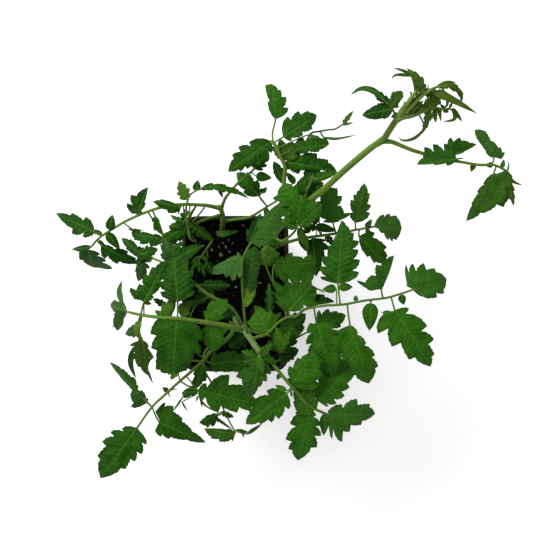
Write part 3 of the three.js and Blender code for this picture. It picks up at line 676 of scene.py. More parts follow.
# The sides of small leaflets: how far along each corner lies, and how far out as a share of half.
TOOTHED_SIDE = ((0.24, 0.92), (0.5, 1), (0.75, 0.7))
TOOTHED_DEPTH = 0.38
OVAL_SIDE = ((0.06, 0.6), (0.32, 1), (0.76, 0.55))
BLADE_THICKNESS = 0.35
FEWEST_COLUMNS, MOST_COLUMNS = 3, 7  # of faces, from the midrib to the edge
COLUMN_WIDTH = 2
QUILT = 0.38  # how far the blade swells between two side veins
QUILT_POWER = 0.7  # the lower this power, the flatter the middle of a swelling
QUILT_FROM = 0.2  # the share of the way out from which the swellings have their full height
QUILT_GROWN = 4  # and how many mm out that has to be
GROOVE = 0.5  # how deep the blade dips over its midrib, and how far out that reaches
GROOVE_HALF = 1.3
WAVE = 2.8  # how far the blade waves up and down, and over which length and half width
WAVE_LENGTH = 13
WAVE_HALF = 8
WAVE_ROOM = 90  # each blade takes its waves from its own spot of a field this wide
SHARP_EDGE = 1.2
# A leaflet's own stalk thins out as a rib under the midrib, through these shares of its length.
RIB_STOPS = (0, 0.15, 0.35, 0.55, 0.75, 0.93)
RIB_STEPS = 4
RIB_RADIUS = 0.85
RIB_THINNING = 0.85
RIB_SUNK = 0.1
RIB_OUT = 0.1  # the share of the midrib at which the rib stands out in full
RIB_SIDES = 6
FULL_GROWN = 25  # a leaflet shorter than this has a thinner rib
SHORTEST_STEP = 2
STALK_SIDES = 10
STALK_SWELL = 0.3  # share that a stalk is thicker at its foot
SWELL_FADES = 2.5
STOUT = 2  # the radius from which a stalk is streaked as a stem is
HAIRS_PER_MM = 5
LEAF_HAIR = 0.55
# How light a leaflet is where nothing else is said: a random share, with painted shade that darkens
# it where it stands low and painted light that lightens it where it stands high.
USUAL_TONES = (0.3, 0.8)
PAINTED_SHADE_HEIGHT = 215
PAINTED_SHADE_RANGE = 250


def arc(start, bulge, end, steps):
    """Points of an outline after start, up to end, on an arc that is drawn out towards bulge."""
    return [
        start.lerp(bulge, step / steps).lerp(bulge.lerp(end, step / steps), step / steps)
        for step in range(1, steps + 1)]


def toothed_arc(start, bulge, end):
    """An arc with small teeth, which are smaller near the midrib."""
    margin = arc(start, bulge, end, ARC_STEPS)
    for step, point in enumerate(margin[:-1]):
        point.y += TEETH[step % 3] * min(point.y / TEETH_GROWN, 1)
    return margin


def lobed_side(lobes, cut):
    """The outline of one side of a blade with pointed lobes, as (place, whether a lobe's tip)."""
    reached = Vector((0, 0))
    outline = [(reached, False)]
    for k, lobe in enumerate(lobes):
        tip = Vector(lobe)
        following = lobes[k + 1][0] if k + 1 < len(lobes) else 1
        notch = Vector((
            tip.x + NOTCH_STEP * max(following - tip.x, LEAST_LOBE_GAP),
            (1 - cut) * tip.y))
        bulge = Vector((
            reached.x + SWING_TO_LOBE[0] * (tip.x - reached.x),
            max(SWING_TO_LOBE[1] * tip.y, reached.y)))
        outline += [(point, False) for point in toothed_arc(reached, bulge, tip)[:-1]]
        outline.append((tip, True))
        bulge = Vector((tip.x + SWING_TO_NOTCH[0] * (notch.x - tip.x), SWING_TO_NOTCH[1] * tip.y))
        outline += [(point, False) for point in arc(tip, bulge, notch, NOTCH_STEPS)]
        reached = notch
    bulge = Vector((reached.x + SWING_TO_TIP[0] * (1 - reached.x), SWING_TO_TIP[1] * reached.y))
    return outline + [(point, False) for point in toothed_arc(reached, bulge, Vector((1, 0)))]


def smooth_side(points):
    """The outline of one side of a blade with an even edge."""
    reach = 4 * max(out for _, out in points)
    ends = [Vector((along * reach, out, 0)) for along, out in [(0, 0), *points, (1, 0)]]
    return [(Vector((point.x / reach, point.y)), False) for point in smooth_path(ends, 5)]


def leaflet(
        base, tip, left, right, cups=(CUP, CUP), through=(), stalk=(), pale=0, yellow=0, tone=None):
    """A leaflet from its base to its tip on the plan, by way of the points in through, on a stalk
    along its own points. pale and yellow are shares of those colours. tone is how light it is, which
    holds painted light and shade for how brightly it is lit as well as its own green."""
    if tone is None:
        # Painted light and shade: a leaflet that stands low is made darker, one that stands high lighter.
        painted_light_and_shade = (base[2] - PAINTED_SHADE_HEIGHT) / PAINTED_SHADE_RANGE
        tone = min(max(chance.uniform(*USUAL_TONES) + painted_light_and_shade, 0), 1)
    return {
        "spine": smooth_path([place(*point) for point in (base, *through, tip)], 10),
        "stalk": [place(*point) for point in stalk], "sides": (left, right), "cups": cups,
        "look": (pale, tone, yellow),
        "drawn_in": (POT_HEIGHT + EYE_ABOVE_RIM - base[2]) / EYE_ABOVE_RIM}


def lobed(base, tip, lobes, cut=NOTCH_DEPTH, **look):
    """A leaflet with pointed lobes, whose tips are given as east, south, east, south and so on. cut
    is how deep the notches past them are, as a share of how far out each lobe reaches."""
    axis = Vector(tip[:2]) - Vector(base[:2])
    sides = {1: [], -1: []}
    for east, south in zip(lobes[::2], lobes[1::2]):
        to_lobe = Vector((east, south)) - Vector(base[:2])
        out = (to_lobe.x * axis.y - to_lobe.y * axis.x) / axis.length
        along = to_lobe.dot(axis) / axis.length_squared
        sides[1 if out > 0 else -1].append((along, abs(out)))
    shapes = [
        lobed_side(sorted(side), cut) if side else smooth_side([(0.5, HIDDEN_HALF)])
        for side in sides.values()]
    cups = [CUP if side else FOLDED_CUP for side in sides.values()]
    return leaflet(base, tip, *shapes, **{"cups": cups, **look})


def toothed(base, tip, half, **look):
    """A small leaflet with three lobes a side, half as wide as half says."""
    side = lobed_side([(along, out * half) for along, out in TOOTHED_SIDE], TOOTHED_DEPTH)
    return leaflet(base, tip, side, side, **look)


def oval(base, tip, half, **look):
    """A small leaflet with an even edge, half as wide as half says."""
    side = smooth_side([(along, out * half) for along, out in OVAL_SIDE])
    return leaflet(base, tip, side, side, **look)


def midrib_of(made):
    """A function that gives the midrib's point and the direction to its left at a share of it, and
    the midrib's length in mm."""
    spine = made["spine"]
    last = len(spine) - 1
    length = sum((end - start).length for start, end in zip(spine, spine[1:]))
    for k, point in enumerate(spine):
        share = k / last
        droop = TIP_DROOP * max(share - DROOP_FROM, 0) ** 2 / (1 - DROOP_FROM) ** 2
        point.z += length * (4 * ARCH * share * (1 - share) - droop)
    lefts = []
    for k in range(last + 1):
        tangent = spine[min(k + 1, last)] - spine[max(k - 1, 0)]
        lefts.append(Vector((-tangent.y, tangent.x, 0)).normalized())

    def midrib(along):
        k = min(max(int(along * last), 0), last - 1)
        past = along * last - k
        return spine[k].lerp(spine[k + 1], past), lefts[k].lerp(lefts[k + 1], min(max(past, 0), 1))

    return midrib, length / MM


def feet_of(outline, length):
    """Where on the midrib the side vein to each point of an outline starts, and the veins' marks."""
    feet = [0.0]
    for point, _ in outline[1:]:
        feet.append(max(point.x - VEIN_SLANT * point.y / length, feet[-1] + LEAST_STEP))
    feet = [foot / feet[-1] for foot in feet]
    marks = [(0.0, 0.0)]
    for foot, (_, is_lobe) in zip(feet, outline):
        if is_lobe:
            apart = (foot - marks[-1][0]) * length
            marks.append((foot, marks[-1][1] + max(1, round(apart / VEIN_GAP))))
    left_over = (1 - marks[-1][0]) * length
    marks.append((1.0, marks[-1][1] + 0.5 + max(1, round(left_over / VEIN_GAP))))
    return feet, marks


def grow_blade(bm, made, finish):
    """The blade of a leaflet, a thin closed skin whose columns follow the midrib and rows the
    side veins. Returns the midrib and its length in mm."""
    midrib, length = midrib_of(made)
    sides = []
    for outline in made["sides"]:
        feet, marks = feet_of(outline, length)
        sides.append((
            feet, [point.x for point, _ in outline], [point.y for point, _ in outline],
            [foot for foot, _ in marks], [phase for _, phase in marks]))
    rows = sorted({round(foot, 3) for side in sides for foot in side[0]})
    widest = max(max(side[2]) for side in sides)
    half = max(FEWEST_COLUMNS, min(MOST_COLUMNS, round(widest / COLUMN_WIDTH)))
    start = Vector((chance.random(), chance.random(), chance.random())) * WAVE_ROOM
    around = 4 * half + 2
    grains = {}

    def skin(i, j):
        """A corner of the blade's skin: over the upper side from left to right, then back below."""
        below = i % around > 2 * half
        across = around - 1 - i % around if below else i % around
        share = abs(across - half) / half
        side = 0 if across < half else 1
        sign = 1 - 2 * side
        feet, alongs, outs, mark_feet, phases = sides[side]
        foot = rows[j]
        along = foot + share * (interp(foot, feet, alongs) - foot)
        out = share * interp(foot, feet, outs)
        phase = interp(foot, mark_feet, phases)
        cup = made["cups"][side]
        swell = abs(math.sin(math.pi * phase)) ** QUILT_POWER
        swell = swell * min(share / QUILT_FROM, 1) * (1 - share) ** 0.5
        height = QUILT * swell * min(out / QUILT_GROWN, 1) - GROOVE * max(1 - out / GROOVE_HALF, 0)
        height += cup * out
        height += WAVE * min(out / WAVE_HALF, 1) * noise.noise(
            start + Vector((along * length / WAVE_LENGTH, out / WAVE_HALF, sign)))
        grains[i, j] = (phase, out, share), below
        point, left = midrib(along)
        point = point + (left * sign * out * made["drawn_in"] + Vector((0, 0, height))) * MM
        if below:
            under = left * sign * cup - Vector((0, 0, 1))
            point += under * BLADE_THICKNESS / math.hypot(1, cup) * MM
        return point

    corners = wrap(bm, around, len(rows) - 1, skin)
    grain_of = bm.verts.layers.float_vector["grain"]
    look_of = bm.verts.layers.float_vector["look"]
    pale, tone, yellow = made["look"]
    for corner, i, j in corners:
        grain, below = grains[i, j]
        corner[grain_of] = grain
        corner[look_of] = (1 if below else pale, tone, yellow)
    faces = close_skin(bm, corners, 0.005, finish)
    for edge in {edge for face in faces for edge in face.edges}:
        edge.smooth = edge.calc_face_angle(0) < SHARP_EDGE
    return midrib, length


def grow_rib(bm, spine, stalk, midrib, length):
    """A leaflet's own stalk, from the nearest place on the leaf's stalk, and on under its blade."""
    radius = RIB_RADIUS * min(1, 0.5 + 0.5 * length / FULL_GROWN)
    rib = list(stalk)
    for share in RIB_STOPS:
        thick = radius * (1 - RIB_THINNING * share) * min(share / RIB_OUT, 1)
        rib.append(midrib(share)[0] - Vector((0, 0, (GROOVE + RIB_SUNK + thick) * MM)))
    foot = min(spine, key=lambda point: (point - rib[0]).length)
    rib = [foot, *[point for point in rib if (point - foot).length > SHORTEST_STEP * MM]]
    rib_spine = smooth_path(rib, RIB_STEPS)
    bare = RIB_STEPS * (len(rib) - len(RIB_STOPS))
    radii = [
        radius * (1 - RIB_THINNING * max(k - bare, 0) / (len(rib_spine) - 1 - bare))
        for k in range(len(rib_spine))]
    grow_rod(bm, rib_spine, radii, RIB_SIDES, 0.6, 1)


def grow_leaf(name, spine, radii, leaflets, blade, skin, slot):
    """A leaf as one piece: a stalk, whose foot is swollen, its hairs and its leaflets."""
    bm = new_growth()
    last = len(spine) - 1
    swollen = [
        (radii[0] + (radii[1] - radii[0]) * k / last) * (1 + STALK_SWELL * math.exp(-k / SWELL_FADES))
        for k in range(last + 1)]
    grow_rod(bm, spine, swollen, STALK_SIDES, min(radii[0] / STOUT, 1), 1, ribs=3)
    grow_hairs(bm, spine, swollen, int(HAIRS_PER_MM * lengths_along(spine)[-1]), LEAF_HAIR, 2)
    for made in leaflets:
        midrib, length = grow_blade(bm, made, 0)
        grow_rib(bm, spine, made["stalk"], midrib, length)
    new_piece(name + "_foliage", bm, [blade, skin, pale_hair], slot, name)


# The pattern of a blade, from the grain of its corners: the number of the side vein that a corner
# lies on, its mm out from the midrib, and its share of the way out to the edge.
leaf_veins, _, result = new_group(
    "leaf_veins", (), ("Midrib", "Side Veins", "Net", "Swelling", "Shaded Rim"))
vein_number, out, share_out = parts_of(leaf_veins, stored(leaf_veins, "grain"))
where = object_place(leaf_veins)
sway = add_node(leaf_veins, "TexNoise", {}, {"Vector": where, "Scale": 1 / (3 * MM), "Detail": 2.0})
swayed = combined(leaf_veins, "MULTIPLY_ADD", sway.outputs[0], 0.35, vein_number)
beside = combined(leaf_veins, "PINGPONG", swayed, 0.5)
side_veins = combined(
    leaf_veins, "MULTIPLY", spread(leaf_veins, beside, 0.01, 0.12, 1, 0),
    spread(leaf_veins, share_out, 0.1, 1, 1, 0.3))
cells = add_node(leaf_veins, "TexVoronoi", {"feature": "SMOOTH_F1"}, {
    "Vector": where, "Scale": 1 / (2.1 * MM), "Smoothness": 0.4})
net = spread(leaf_veins, cells.outputs["Distance"], 0.25, 0.75)
swelling = combined(
    leaf_veins, "MULTIPLY", spread(leaf_veins, beside, 0.0, 0.5), spread(leaf_veins, net, 0, 1, 1, 0.3))
# Shaded Rim marks a band along the blade's edge that is darkened as painted shade.
for mask, value in (
        ("Midrib", spread(leaf_veins, out, 0.3, 1.2, 1, 0)), ("Side Veins", side_veins), ("Net", net),
        ("Swelling", swelling), ("Shaded Rim", spread(leaf_veins, share_out, 0.8, 1))):
    leaf_veins.links.new(value, result[mask])


def blade_finish(name, dark, light, vein, lower, yellow):
    """Soft leaf skin: quilted, mottled green with paler veins and painted shade on swellings and edge,
    paler and greyer underneath.
    """
    finish, tree, shader = new_finish(name, 0.6, Specular_IOR_Level=0.07)
    veins = add_group(tree, leaf_veins)
    mottled = add_group(tree, mottle, Blotch_Size=10, Grain_Size=0.8)
    pale, tone, yellowed = parts_of(tree, stored(tree, "look"))
    # The tone, which holds painted light and shade along with the leaflet's own green, sets it between dark
    # and light.
    blotched = combined(tree, "MULTIPLY_ADD", mottled["Blotches"], 0.3, tone)
    colour = between(tree, spread(tree, blotched, 0.1, 1.1), dark, light)
    # Painted shade: the swellings between side veins and a band along the edge are darkened.
    for mask, share, tint in (
            (veins["Net"], 0.12, vein), (veins["Swelling"], 0.12, dark),
            (veins["Side Veins"], 0.17, vein), (veins["Midrib"], 0.35, vein),
            (veins["Shaded Rim"], 0.35, dark), (mottled["Grain"], 0.18, dark),
            (pale, 0.8, lower), (yellowed, 0.8, yellow)):
        colour = between(tree, combined(tree, "MULTIPLY", mask, share), colour, tint)
    relief = combined(tree, "MULTIPLY_ADD", mottled["Grain"], 0.3, veins["Swelling"])
    finish_surface(tree, shader, colour, mottled["Grain"], 0.5, 0.7, relief, 0.35)
    return finish


mature_blade = blade_finish(
    "mature_blade", (0.005, 0.038, 0.0012, 1), (0.038, 0.165, 0.0055, 1), (0.09, 0.26, 0.03, 1),
    (0.055, 0.13, 0.032, 1), (0.15, 0.25, 0.03, 1))


def compound_leaf(
        name, stem, height, path, radii, leaflets, blade=mature_blade, skin=smooth_skin, slot="leaf"):
    """A leaf that leaves a stem at a height, with its stalk's path on the plan."""
    root = min(stem, key=lambda point: abs(point.z / MM - height))
    spine = smooth_path([root, *[place(*point) for point in path]], 6)
    grow_leaf(name, spine, radii, leaflets, blade, skin, slot)


compound_leaf("nw_leaf_west", thin_stem, 157, [
    (208, 205.7, 165), (200, 205, 168), (180, 204.5, 171), (157, 208.5, 169), (130, 219, 160),
    (110, 230.5, 150), (98, 239, 143), (91, 247, 137),
], (1.9, 1), [
    lobed((181, 207, 174), (152.5, 201.5, 176), (161, 199, 168, 213, 178, 214.5), tone=0.3),
    lobed((137, 214.5, 165), (148, 187, 168), (131, 195, 127, 203.5, 128.5, 213, 146, 204, 142.5, 212),
        cut=0.42, tone=0.25),
    oval((109.5, 230, 153), (112.5, 214.5, 156), 5, tone=0.2),
    lobed((94.5, 232, 146), (55.5, 213, 130), (73, 213, 86.5, 217, 72.5, 234, 83, 237, 91, 238), cut=0.42,
        tone=0.25, stalk=[(102, 235, 146)]),
    oval((102, 235, 146), (94, 229.5, 142), 2.5, tone=0.2),
    oval((99, 233, 145), (92, 232, 142), 2, tone=0.3),
    oval((107, 233, 149), (120, 249.5, 141), 5, tone=0.3),
    lobed((101, 245, 142), (136, 264, 120), (113, 247, 128, 251, 136, 258, 117, 264, 105, 259), cut=0.38,
        tone=0.3),
    oval((99, 240, 144), (107, 248, 138), 1.6, tone=0.2),
    lobed((88, 249.5, 136), (93, 267.5, 104), (75.5, 254, 80, 262, 100, 252.5, 106, 258, 112, 265), cut=0.3,
        tone=0.35),
    oval((91, 247, 139), (71, 249.5, 132), 3, tone=0.2),
    lobed((165, 240, 150), (131, 233, 142), (
        155, 233.5, 143, 231.5, 134, 228, 150, 246, 140, 244, 134, 240,
    ), tone=0.3),
    oval((135, 231, 142), (126.5, 228.5, 140), 1, tone=0.2),
    oval((133, 230, 143), (143.5, 230.5, 142), 1.3, tone=0.2),
    lobed((155, 216, 165), (164, 235.5, 150), (152, 222, 154.5, 231, 160, 221, 162, 228), tone=0.75),
    toothed((191, 225, 170), (213, 241, 160), 6, tone=0.2, stalk=[(204, 208, 168), (197, 217, 170)]),
    toothed((187, 226, 170), (159, 242, 158), 7, tone=0.35, stalk=[(195, 206, 169), (189, 216, 171)]),
    toothed((188, 228, 168), (166, 247, 154), 5.5, tone=0.15, stalk=[(195, 206, 169), (190, 218, 170)]),
    oval((188, 228, 171), (198, 243.5, 166), 1.5, through=[(190, 238, 170)], pale=1, tone=1),
    toothed((184, 224, 171), (168, 227, 168), 4.5, tone=0.3),
    toothed((185, 229, 169), (176, 238, 165), 4, tone=0.5),
])
compound_leaf("nw_shoot", thin_stem, 138, [
    (210, 218, 148), (199, 222, 156), (190, 227, 160), (187, 221, 176), (186, 212, 185), (187, 203, 189),
    (191, 194, 192), (203, 188, 194),
], (1.5, 0.8), [
    toothed((187, 200, 190), (179, 181, 193), 7, yellow=0.5, tone=0.7),
    toothed((187, 196, 190), (179, 198, 191), 2.5, yellow=0.5),
    oval((196, 191, 193), (198, 180, 196), 4.2, tone=0.45),
    toothed((201.5, 188, 194), (249, 198.3, 184), 4.2, tone=0.4,
        through=[(213, 186.8, 192), (225, 188.8, 190), (237, 192, 187)]),
    oval((219, 189, 190), (223, 198, 186), 2, tone=0.4),
    oval((201, 188, 194), (207, 190, 192), 1.8, tone=0.4),
    toothed((185, 221, 176), (170, 215, 177), 3, through=[(177, 219, 178)]),
    toothed((188, 214, 180), (184, 209, 182), 2.5, pale=1, tone=1),
    oval((188, 230, 158), (197, 242, 150), 1.5),
    toothed((186, 218, 178), (180, 213, 178), 3.5, tone=0),
])
compound_leaf("nw_leaf_north", thin_stem, 151, [
    (225, 199, 168), (231, 191, 177), (240, 181, 184), (250, 173, 187), (256, 167, 188),
], (1.6, 1), [
    oval((256, 176, 186), (272, 178, 183), 5),
    toothed((254, 169, 188), (266, 152, 186), 9),
])
compound_leaf("nw_leaf_east", thin_stem, 118, [
    (235, 219.5, 128), (250, 217, 138), (262, 210, 144), (270, 205, 147), (280, 199, 149),
], (1.6, 0.9), [
    lobed((259, 196, 154), (236.5, 172.5, 156), (238, 185, 243, 192.5, 248, 172, 257.5, 180, 262, 188),
        tone=0.35),
    oval((262, 193, 153), (267, 187, 153), 2.5, stalk=[(259.5, 197, 153)]),
    toothed((280, 199, 149), (294, 191, 146), 7),
    oval((266, 207.5, 148), (268, 223, 146), 3, pale=0.3),
])
compound_leaf("seed_leaf", thin_stem, 102, [(220, 231, 104), (217, 235, 105)], (0.8, 0.6), [
    oval((217, 235, 105), (239, 231, 107), 3.2, pale=0.5, tone=0.3),
])

# ---------------------------------------------------------------- leaves of the long stem
# The thick stem that leans out of the pot carries the next leaves, the oldest ones low over the
# rim. They are the same soft growth as those of the thin stem.
compound_leaf("main_leaf_low_east", long_stem, 122, [
    (277, 246, 133), (300, 239, 148), (333, 234, 160), (352, 230.6, 163), (374, 226.6, 160),
], (1.9, 1), [
    lobed((355.5, 223, 164), (364.5, 183, 166), (
        357, 191, 353.5, 194.5, 350.5, 200, 350, 213, 370, 194, 371, 205.5, 370, 213,
    ), tone=0.5, pale=0.2),
    lobed((374, 226, 160), (402, 228, 150), (
        384, 214.5, 390, 213.5, 397, 215.5, 377.5, 228.5, 383, 233.5, 388.5, 240, 392.5, 241.5, 397, 240,
    ), tone=0.75, pale=0.5, cut=0.2),
    lobed((359, 236, 161), (384, 263, 150), (375, 233, 387, 247, 388, 256, 367, 257, 374, 263), tone=0.45),
    oval((366, 228, 162), (372, 219, 164), 3),
    oval((366, 229, 161), (371, 235, 158), 2.5),
    oval((316, 226, 164), (337, 231, 166), 4.5),
    lobed((333, 223, 166), (328, 187, 172), (
        323, 221, 317, 211, 315.5, 202, 321, 194, 337.5, 188, 342, 196, 341, 206, 350.5, 213, 341, 221,
    ), tone=1, pale=0.2, cut=0.34),
    lobed((313, 238, 153), (316, 277, 136), (304, 247, 307, 257, 327, 241, 329, 249, 325, 260), tone=0.15),
    oval((300, 238, 149), (307, 252, 142), 3.5, tone=0.4),
    lobed((298, 228, 163), (308, 249, 158), (305, 231, 309, 240, 298, 238), tone=0.7, yellow=0.35),
    lobed((301, 226, 160), (314, 199, 168), (304, 201, 301, 212, 320, 206, 317, 217)),
    oval((304, 230, 155), (311, 232, 154), 3),
    toothed((316, 229, 160), (303, 225, 160), 4, tone=0.2),
    toothed((281, 244, 146), (267, 243, 148), 5, tone=0.1),
    toothed((326, 235, 159), (334, 246, 156), 4, tone=0.1),
    toothed((318, 216, 165), (313, 226, 162), 4, tone=0.1),
])
compound_leaf("main_leaf_low_north", long_stem, 147, [
    (281, 241, 152), (290, 236, 158), (296, 229, 164), (298, 218, 172),
], (1.5, 1), [
    lobed((298, 218, 174), (284, 186, 178), (276, 208, 277, 197, 296, 196, 300, 206)),
    toothed((296, 227, 168), (283, 222, 170), 5),
    toothed((298, 224, 168), (312, 222, 172), 6),
])
compound_leaf("main_leaf_north", long_stem, 172, [
    (288, 200, 188), (284, 183, 200), (285, 167, 207), (280, 156, 210), (276, 147, 211), (273, 142, 211),
], (2.1, 1.7), [
    lobed((275.5, 119.5, 208), (271.5, 83.5, 200), (265, 85, 267.5, 103, 281, 90, 286.5, 97, 288.5, 108),
        cut=0.35, tone=0.5, stalk=[(272.5, 133, 210)]),
    lobed((283, 137, 211), (317, 115, 208), (
        287.5, 116.5, 298, 111, 308, 110.5, 292, 140.5, 303, 135.5, 312.5, 129,
    ), pale=0.1, tone=0.42),
    lobed((271, 141, 209), (228, 171.5, 196), (
        249, 142, 238, 147, 232, 154.5, 241, 171.5, 248, 169, 258, 166, 268, 162, 271, 153,
    ), cut=0.38, tone=0.32),
    lobed((292, 150, 208), (329.5, 144, 207), (303, 137.5, 318, 135.5, 327, 138.5, 308, 153.5, 319, 152),
        tone=0.42),
    oval((307, 135, 210), (323, 139, 210), 1.8, pale=1, tone=1),
    lobed((286, 162, 206), (337, 171, 198), (300, 151, 317, 153.5, 328, 159.5, 303, 171, 318, 171),
        tone=0.32),
    lobed((282, 160, 207), (293, 142, 208), (279, 149, 285, 143, 298, 156, 299, 147), tone=0.1, yellow=0.3),
    lobed((285, 163, 204), (299, 174, 201), (288, 170, 294, 173, 296, 161, 302, 168), tone=0.2, yellow=0.3),
    lobed((284, 185, 197), (273.5, 161, 197), (273, 172, 283, 168, 286, 177), tone=0.05, cut=0.2),
    oval((295, 183, 197), (286, 172, 198), 3.5, tone=0.1),
    oval((283, 150, 205), (280, 138.5, 206), 4.5, tone=0.2, yellow=0.2),
    toothed((281, 159, 206), (272, 146, 207), 3, tone=0.4),
    lobed((296, 204, 208), (284, 182, 206), (277.5, 204, 272.5, 198, 279.5, 187.5, 300, 199, 297, 187),
        cut=0.35, tone=0.8),
    lobed((297, 223, 202), (279, 204, 204), (284, 219, 278, 213, 294, 210, 284, 200), tone=0.7,
        stalk=[(296, 205, 206), (298, 214, 203)]),
    lobed((297, 223, 203), (301, 194, 211), (289, 215, 289, 204, 308, 216, 310, 203), tone=0.6,
        stalk=[(296, 205, 206), (297.5, 213, 204)]),
    lobed((299, 226, 202), (322, 204, 216), (302, 210, 309, 199, 311, 225, 322, 216), tone=0.5,
        stalk=[(296, 205, 206), (297, 216, 203)]),
    toothed((296, 227, 200), (281, 220, 199), 5.5, tone=0.6, stalk=[(296, 205, 206), (297, 217, 203)]),
])
compound_leaf("main_leaf_north_small", long_stem, 183, [
    (302, 190, 190), (306, 165, 192), (306, 145, 195), (311, 133.5, 197), (320, 131.3, 197),
    (329, 129.7, 196), (335, 129, 195), (343, 124.3, 193),
], (1.1, 0.8), [
    toothed((343, 124, 193), (353.5, 110.5, 192), 2.8, pale=0.5, tone=1),
    oval((343, 125, 193), (354, 122.5, 192), 1.3, pale=0.4),
    oval((324, 137.5, 195), (358, 134.5, 190), 1.5, through=[(336, 139, 193)], stalk=[(320, 131.3, 197)]),
])
compound_leaf("main_leaf_mid", long_stem, 196, [
    (306, 192, 202), (310, 184, 206), (313, 176, 208),
], (1.6, 1), [
    lobed((313, 175, 205), (288, 193, 196), (306, 171, 297, 182, 318, 184, 305, 198), tone=0.15),
    lobed((323, 183, 203), (299, 201, 194), (312, 177, 302, 187, 320, 193, 309, 201), tone=0.1),
    lobed((315, 179, 214), (338, 172, 214), (319, 171.5, 331, 170.5, 319, 182, 326, 180), tone=0.5,
        cut=0.15, stalk=[(314, 176, 209)]),
    lobed((316, 182, 203), (305, 160, 200), (303, 173, 320, 168), tone=0.05),
])
compound_leaf("main_leaf_far_east", long_stem, 297, [
    (392, 142, 303), (402, 146, 306), (412, 150, 308), (423, 153.5, 307), (440, 159, 303), (461, 162, 306),
    (480, 165, 303), (494, 165, 300), (507, 171, 296),
], (2.1, 1.0), [
    lobed((457, 159, 311), (417, 164.5, 308), (
        423, 153.5, 424, 147, 433, 144, 444, 143.5, 447, 166, 435, 165.5,
    ), cut=0.45, cups=(-0.02, -0.1), tone=0.45, pale=0.2),
    lobed((453, 155, 311), (477, 144.5, 312), (446, 148, 451, 137.3, 459.5, 137.3, 468.5, 141.5, 463, 153),
        cut=0.3, tone=0.35, stalk=[(457, 160, 309)]),
    oval((474, 164, 304), (471, 172, 300), 3),
    oval((493, 165, 301), (485, 165, 300), 3),
    lobed((494, 158, 302), (475, 129.5, 300), (
        476, 138, 485.5, 153, 485, 130.5, 492.5, 141, 500.5, 147, 504.5, 151.5, 503, 158.5,
    ), cut=0.2, tone=0.5, pale=0.4, yellow=0.08),
    oval((502, 168, 299), (504, 159, 300), 2.5),
    lobed((494, 173, 298), (466.5, 221, 280), (
        483, 183, 477, 191, 471, 203, 509, 172, 511, 190, 503.5, 208, 484, 213.5,
    ), yellow=0.1, tone=0.5, cut=0.3, pale=0.12),
    lobed((505, 170, 299), (503, 206, 284), (497, 180, 496, 195, 513, 181, 511, 195), yellow=0.5, tone=0.2,
        cut=0.2),
    toothed((507, 177, 297), (514, 206, 288), 4.5, yellow=0.35, tone=0.2),
    oval((508, 171, 298), (509, 161, 300), 1),
    oval((505, 172, 297), (523, 185.5, 290), 2, through=[(512, 181, 293)], yellow=0.3, tone=0.2),
    oval((458, 158.5, 308), (464, 158.5, 307), 0.8),
])

# ---------------------------------------------------------------- growing tip
# The youngest leaves of the long stem stand round its bud. They are narrow, olive green and curled,
# because their blades haven't opened yet. Only the one to the west is dark green by now.
young_skin = stem_finish(
    "young_skin", (0.16, 0.27, 0.035, 1), (0.05, 0.11, 0.01, 1), (0.24, 0.36, 0.08, 1))
young_blade = blade_finish(
    "young_blade", (0.014, 0.045, 0.002, 1), (0.075, 0.16, 0.014, 1), (0.13, 0.22, 0.03, 1),
    (0.075, 0.13, 0.03, 1), (0.16, 0.2, 0.03, 1))

compound_leaf("tip_leaf_west", long_stem, 331, [
    (394, 112, 338), (389, 105, 342), (383, 99, 344),
], (1.1, 0.7), [
    oval((386, 101, 344), (350, 95, 338), 3.2, through=[(373, 91, 343), (361, 88.8, 341)], tone=0.4,
        pale=0.3),
    lobed((388, 103, 342), (373, 91.5, 342), (376, 99.5, 381, 91.5, 386, 95), tone=0.1),
    lobed((393, 109, 341), (362, 115, 330), (370, 108, 377, 103.5, 387, 102, 384, 119.5, 374, 120), tone=0,
        cut=0.15),
    lobed((391, 107, 343), (402, 90.5, 347), (388, 98, 393, 91, 404, 96, 399, 107), tone=0.2, pale=0.2,
        yellow=0.1),
    oval((397, 106, 344), (404.5, 91, 349), 0.6, through=[(402, 95.5, 347)]),
    toothed((398, 113, 338), (391, 118, 336), 2.5, pale=1, tone=1),
])
compound_leaf("tip_leaf_arched", long_stem, 337, [
    (403, 109, 346), (407, 104, 350), (412, 97, 355), (416.5, 91, 359),
], (2.5, 1.4), [
    toothed((424, 92, 359), (407, 68, 364), 5.5, through=[(418, 80, 362)], tone=0.6),
    oval((417, 95, 357), (411, 76, 363), 2.4, through=[(415, 84, 361)], tone=0.7),
    oval((412, 76, 363), (391, 79.5, 360), 1.7, through=[(402, 75, 363), (395, 75.5, 362)], tone=0.2),
    oval((411, 74.5, 363), (392.5, 67.5, 364), 1.6, through=[(402, 70.5, 364)], tone=0.3),
    oval((421, 80, 362), (418.5, 74, 364), 0.9),
    oval((423, 84, 361), (423.5, 79, 363), 0.7),
    oval((428, 88, 359), (428.5, 83, 361), 0.6),
    toothed((413, 98, 353), (410, 91, 356), 1.5, tone=0.5),
    toothed((407, 108, 347), (422, 93, 355), 3, tone=0.5),
    toothed((415, 98, 354), (431, 88, 358), 3, tone=0.7),
    oval((405, 106, 349), (404.5, 101, 350), 1.5, tone=0.3),
], young_blade, young_skin, "young_leaf")
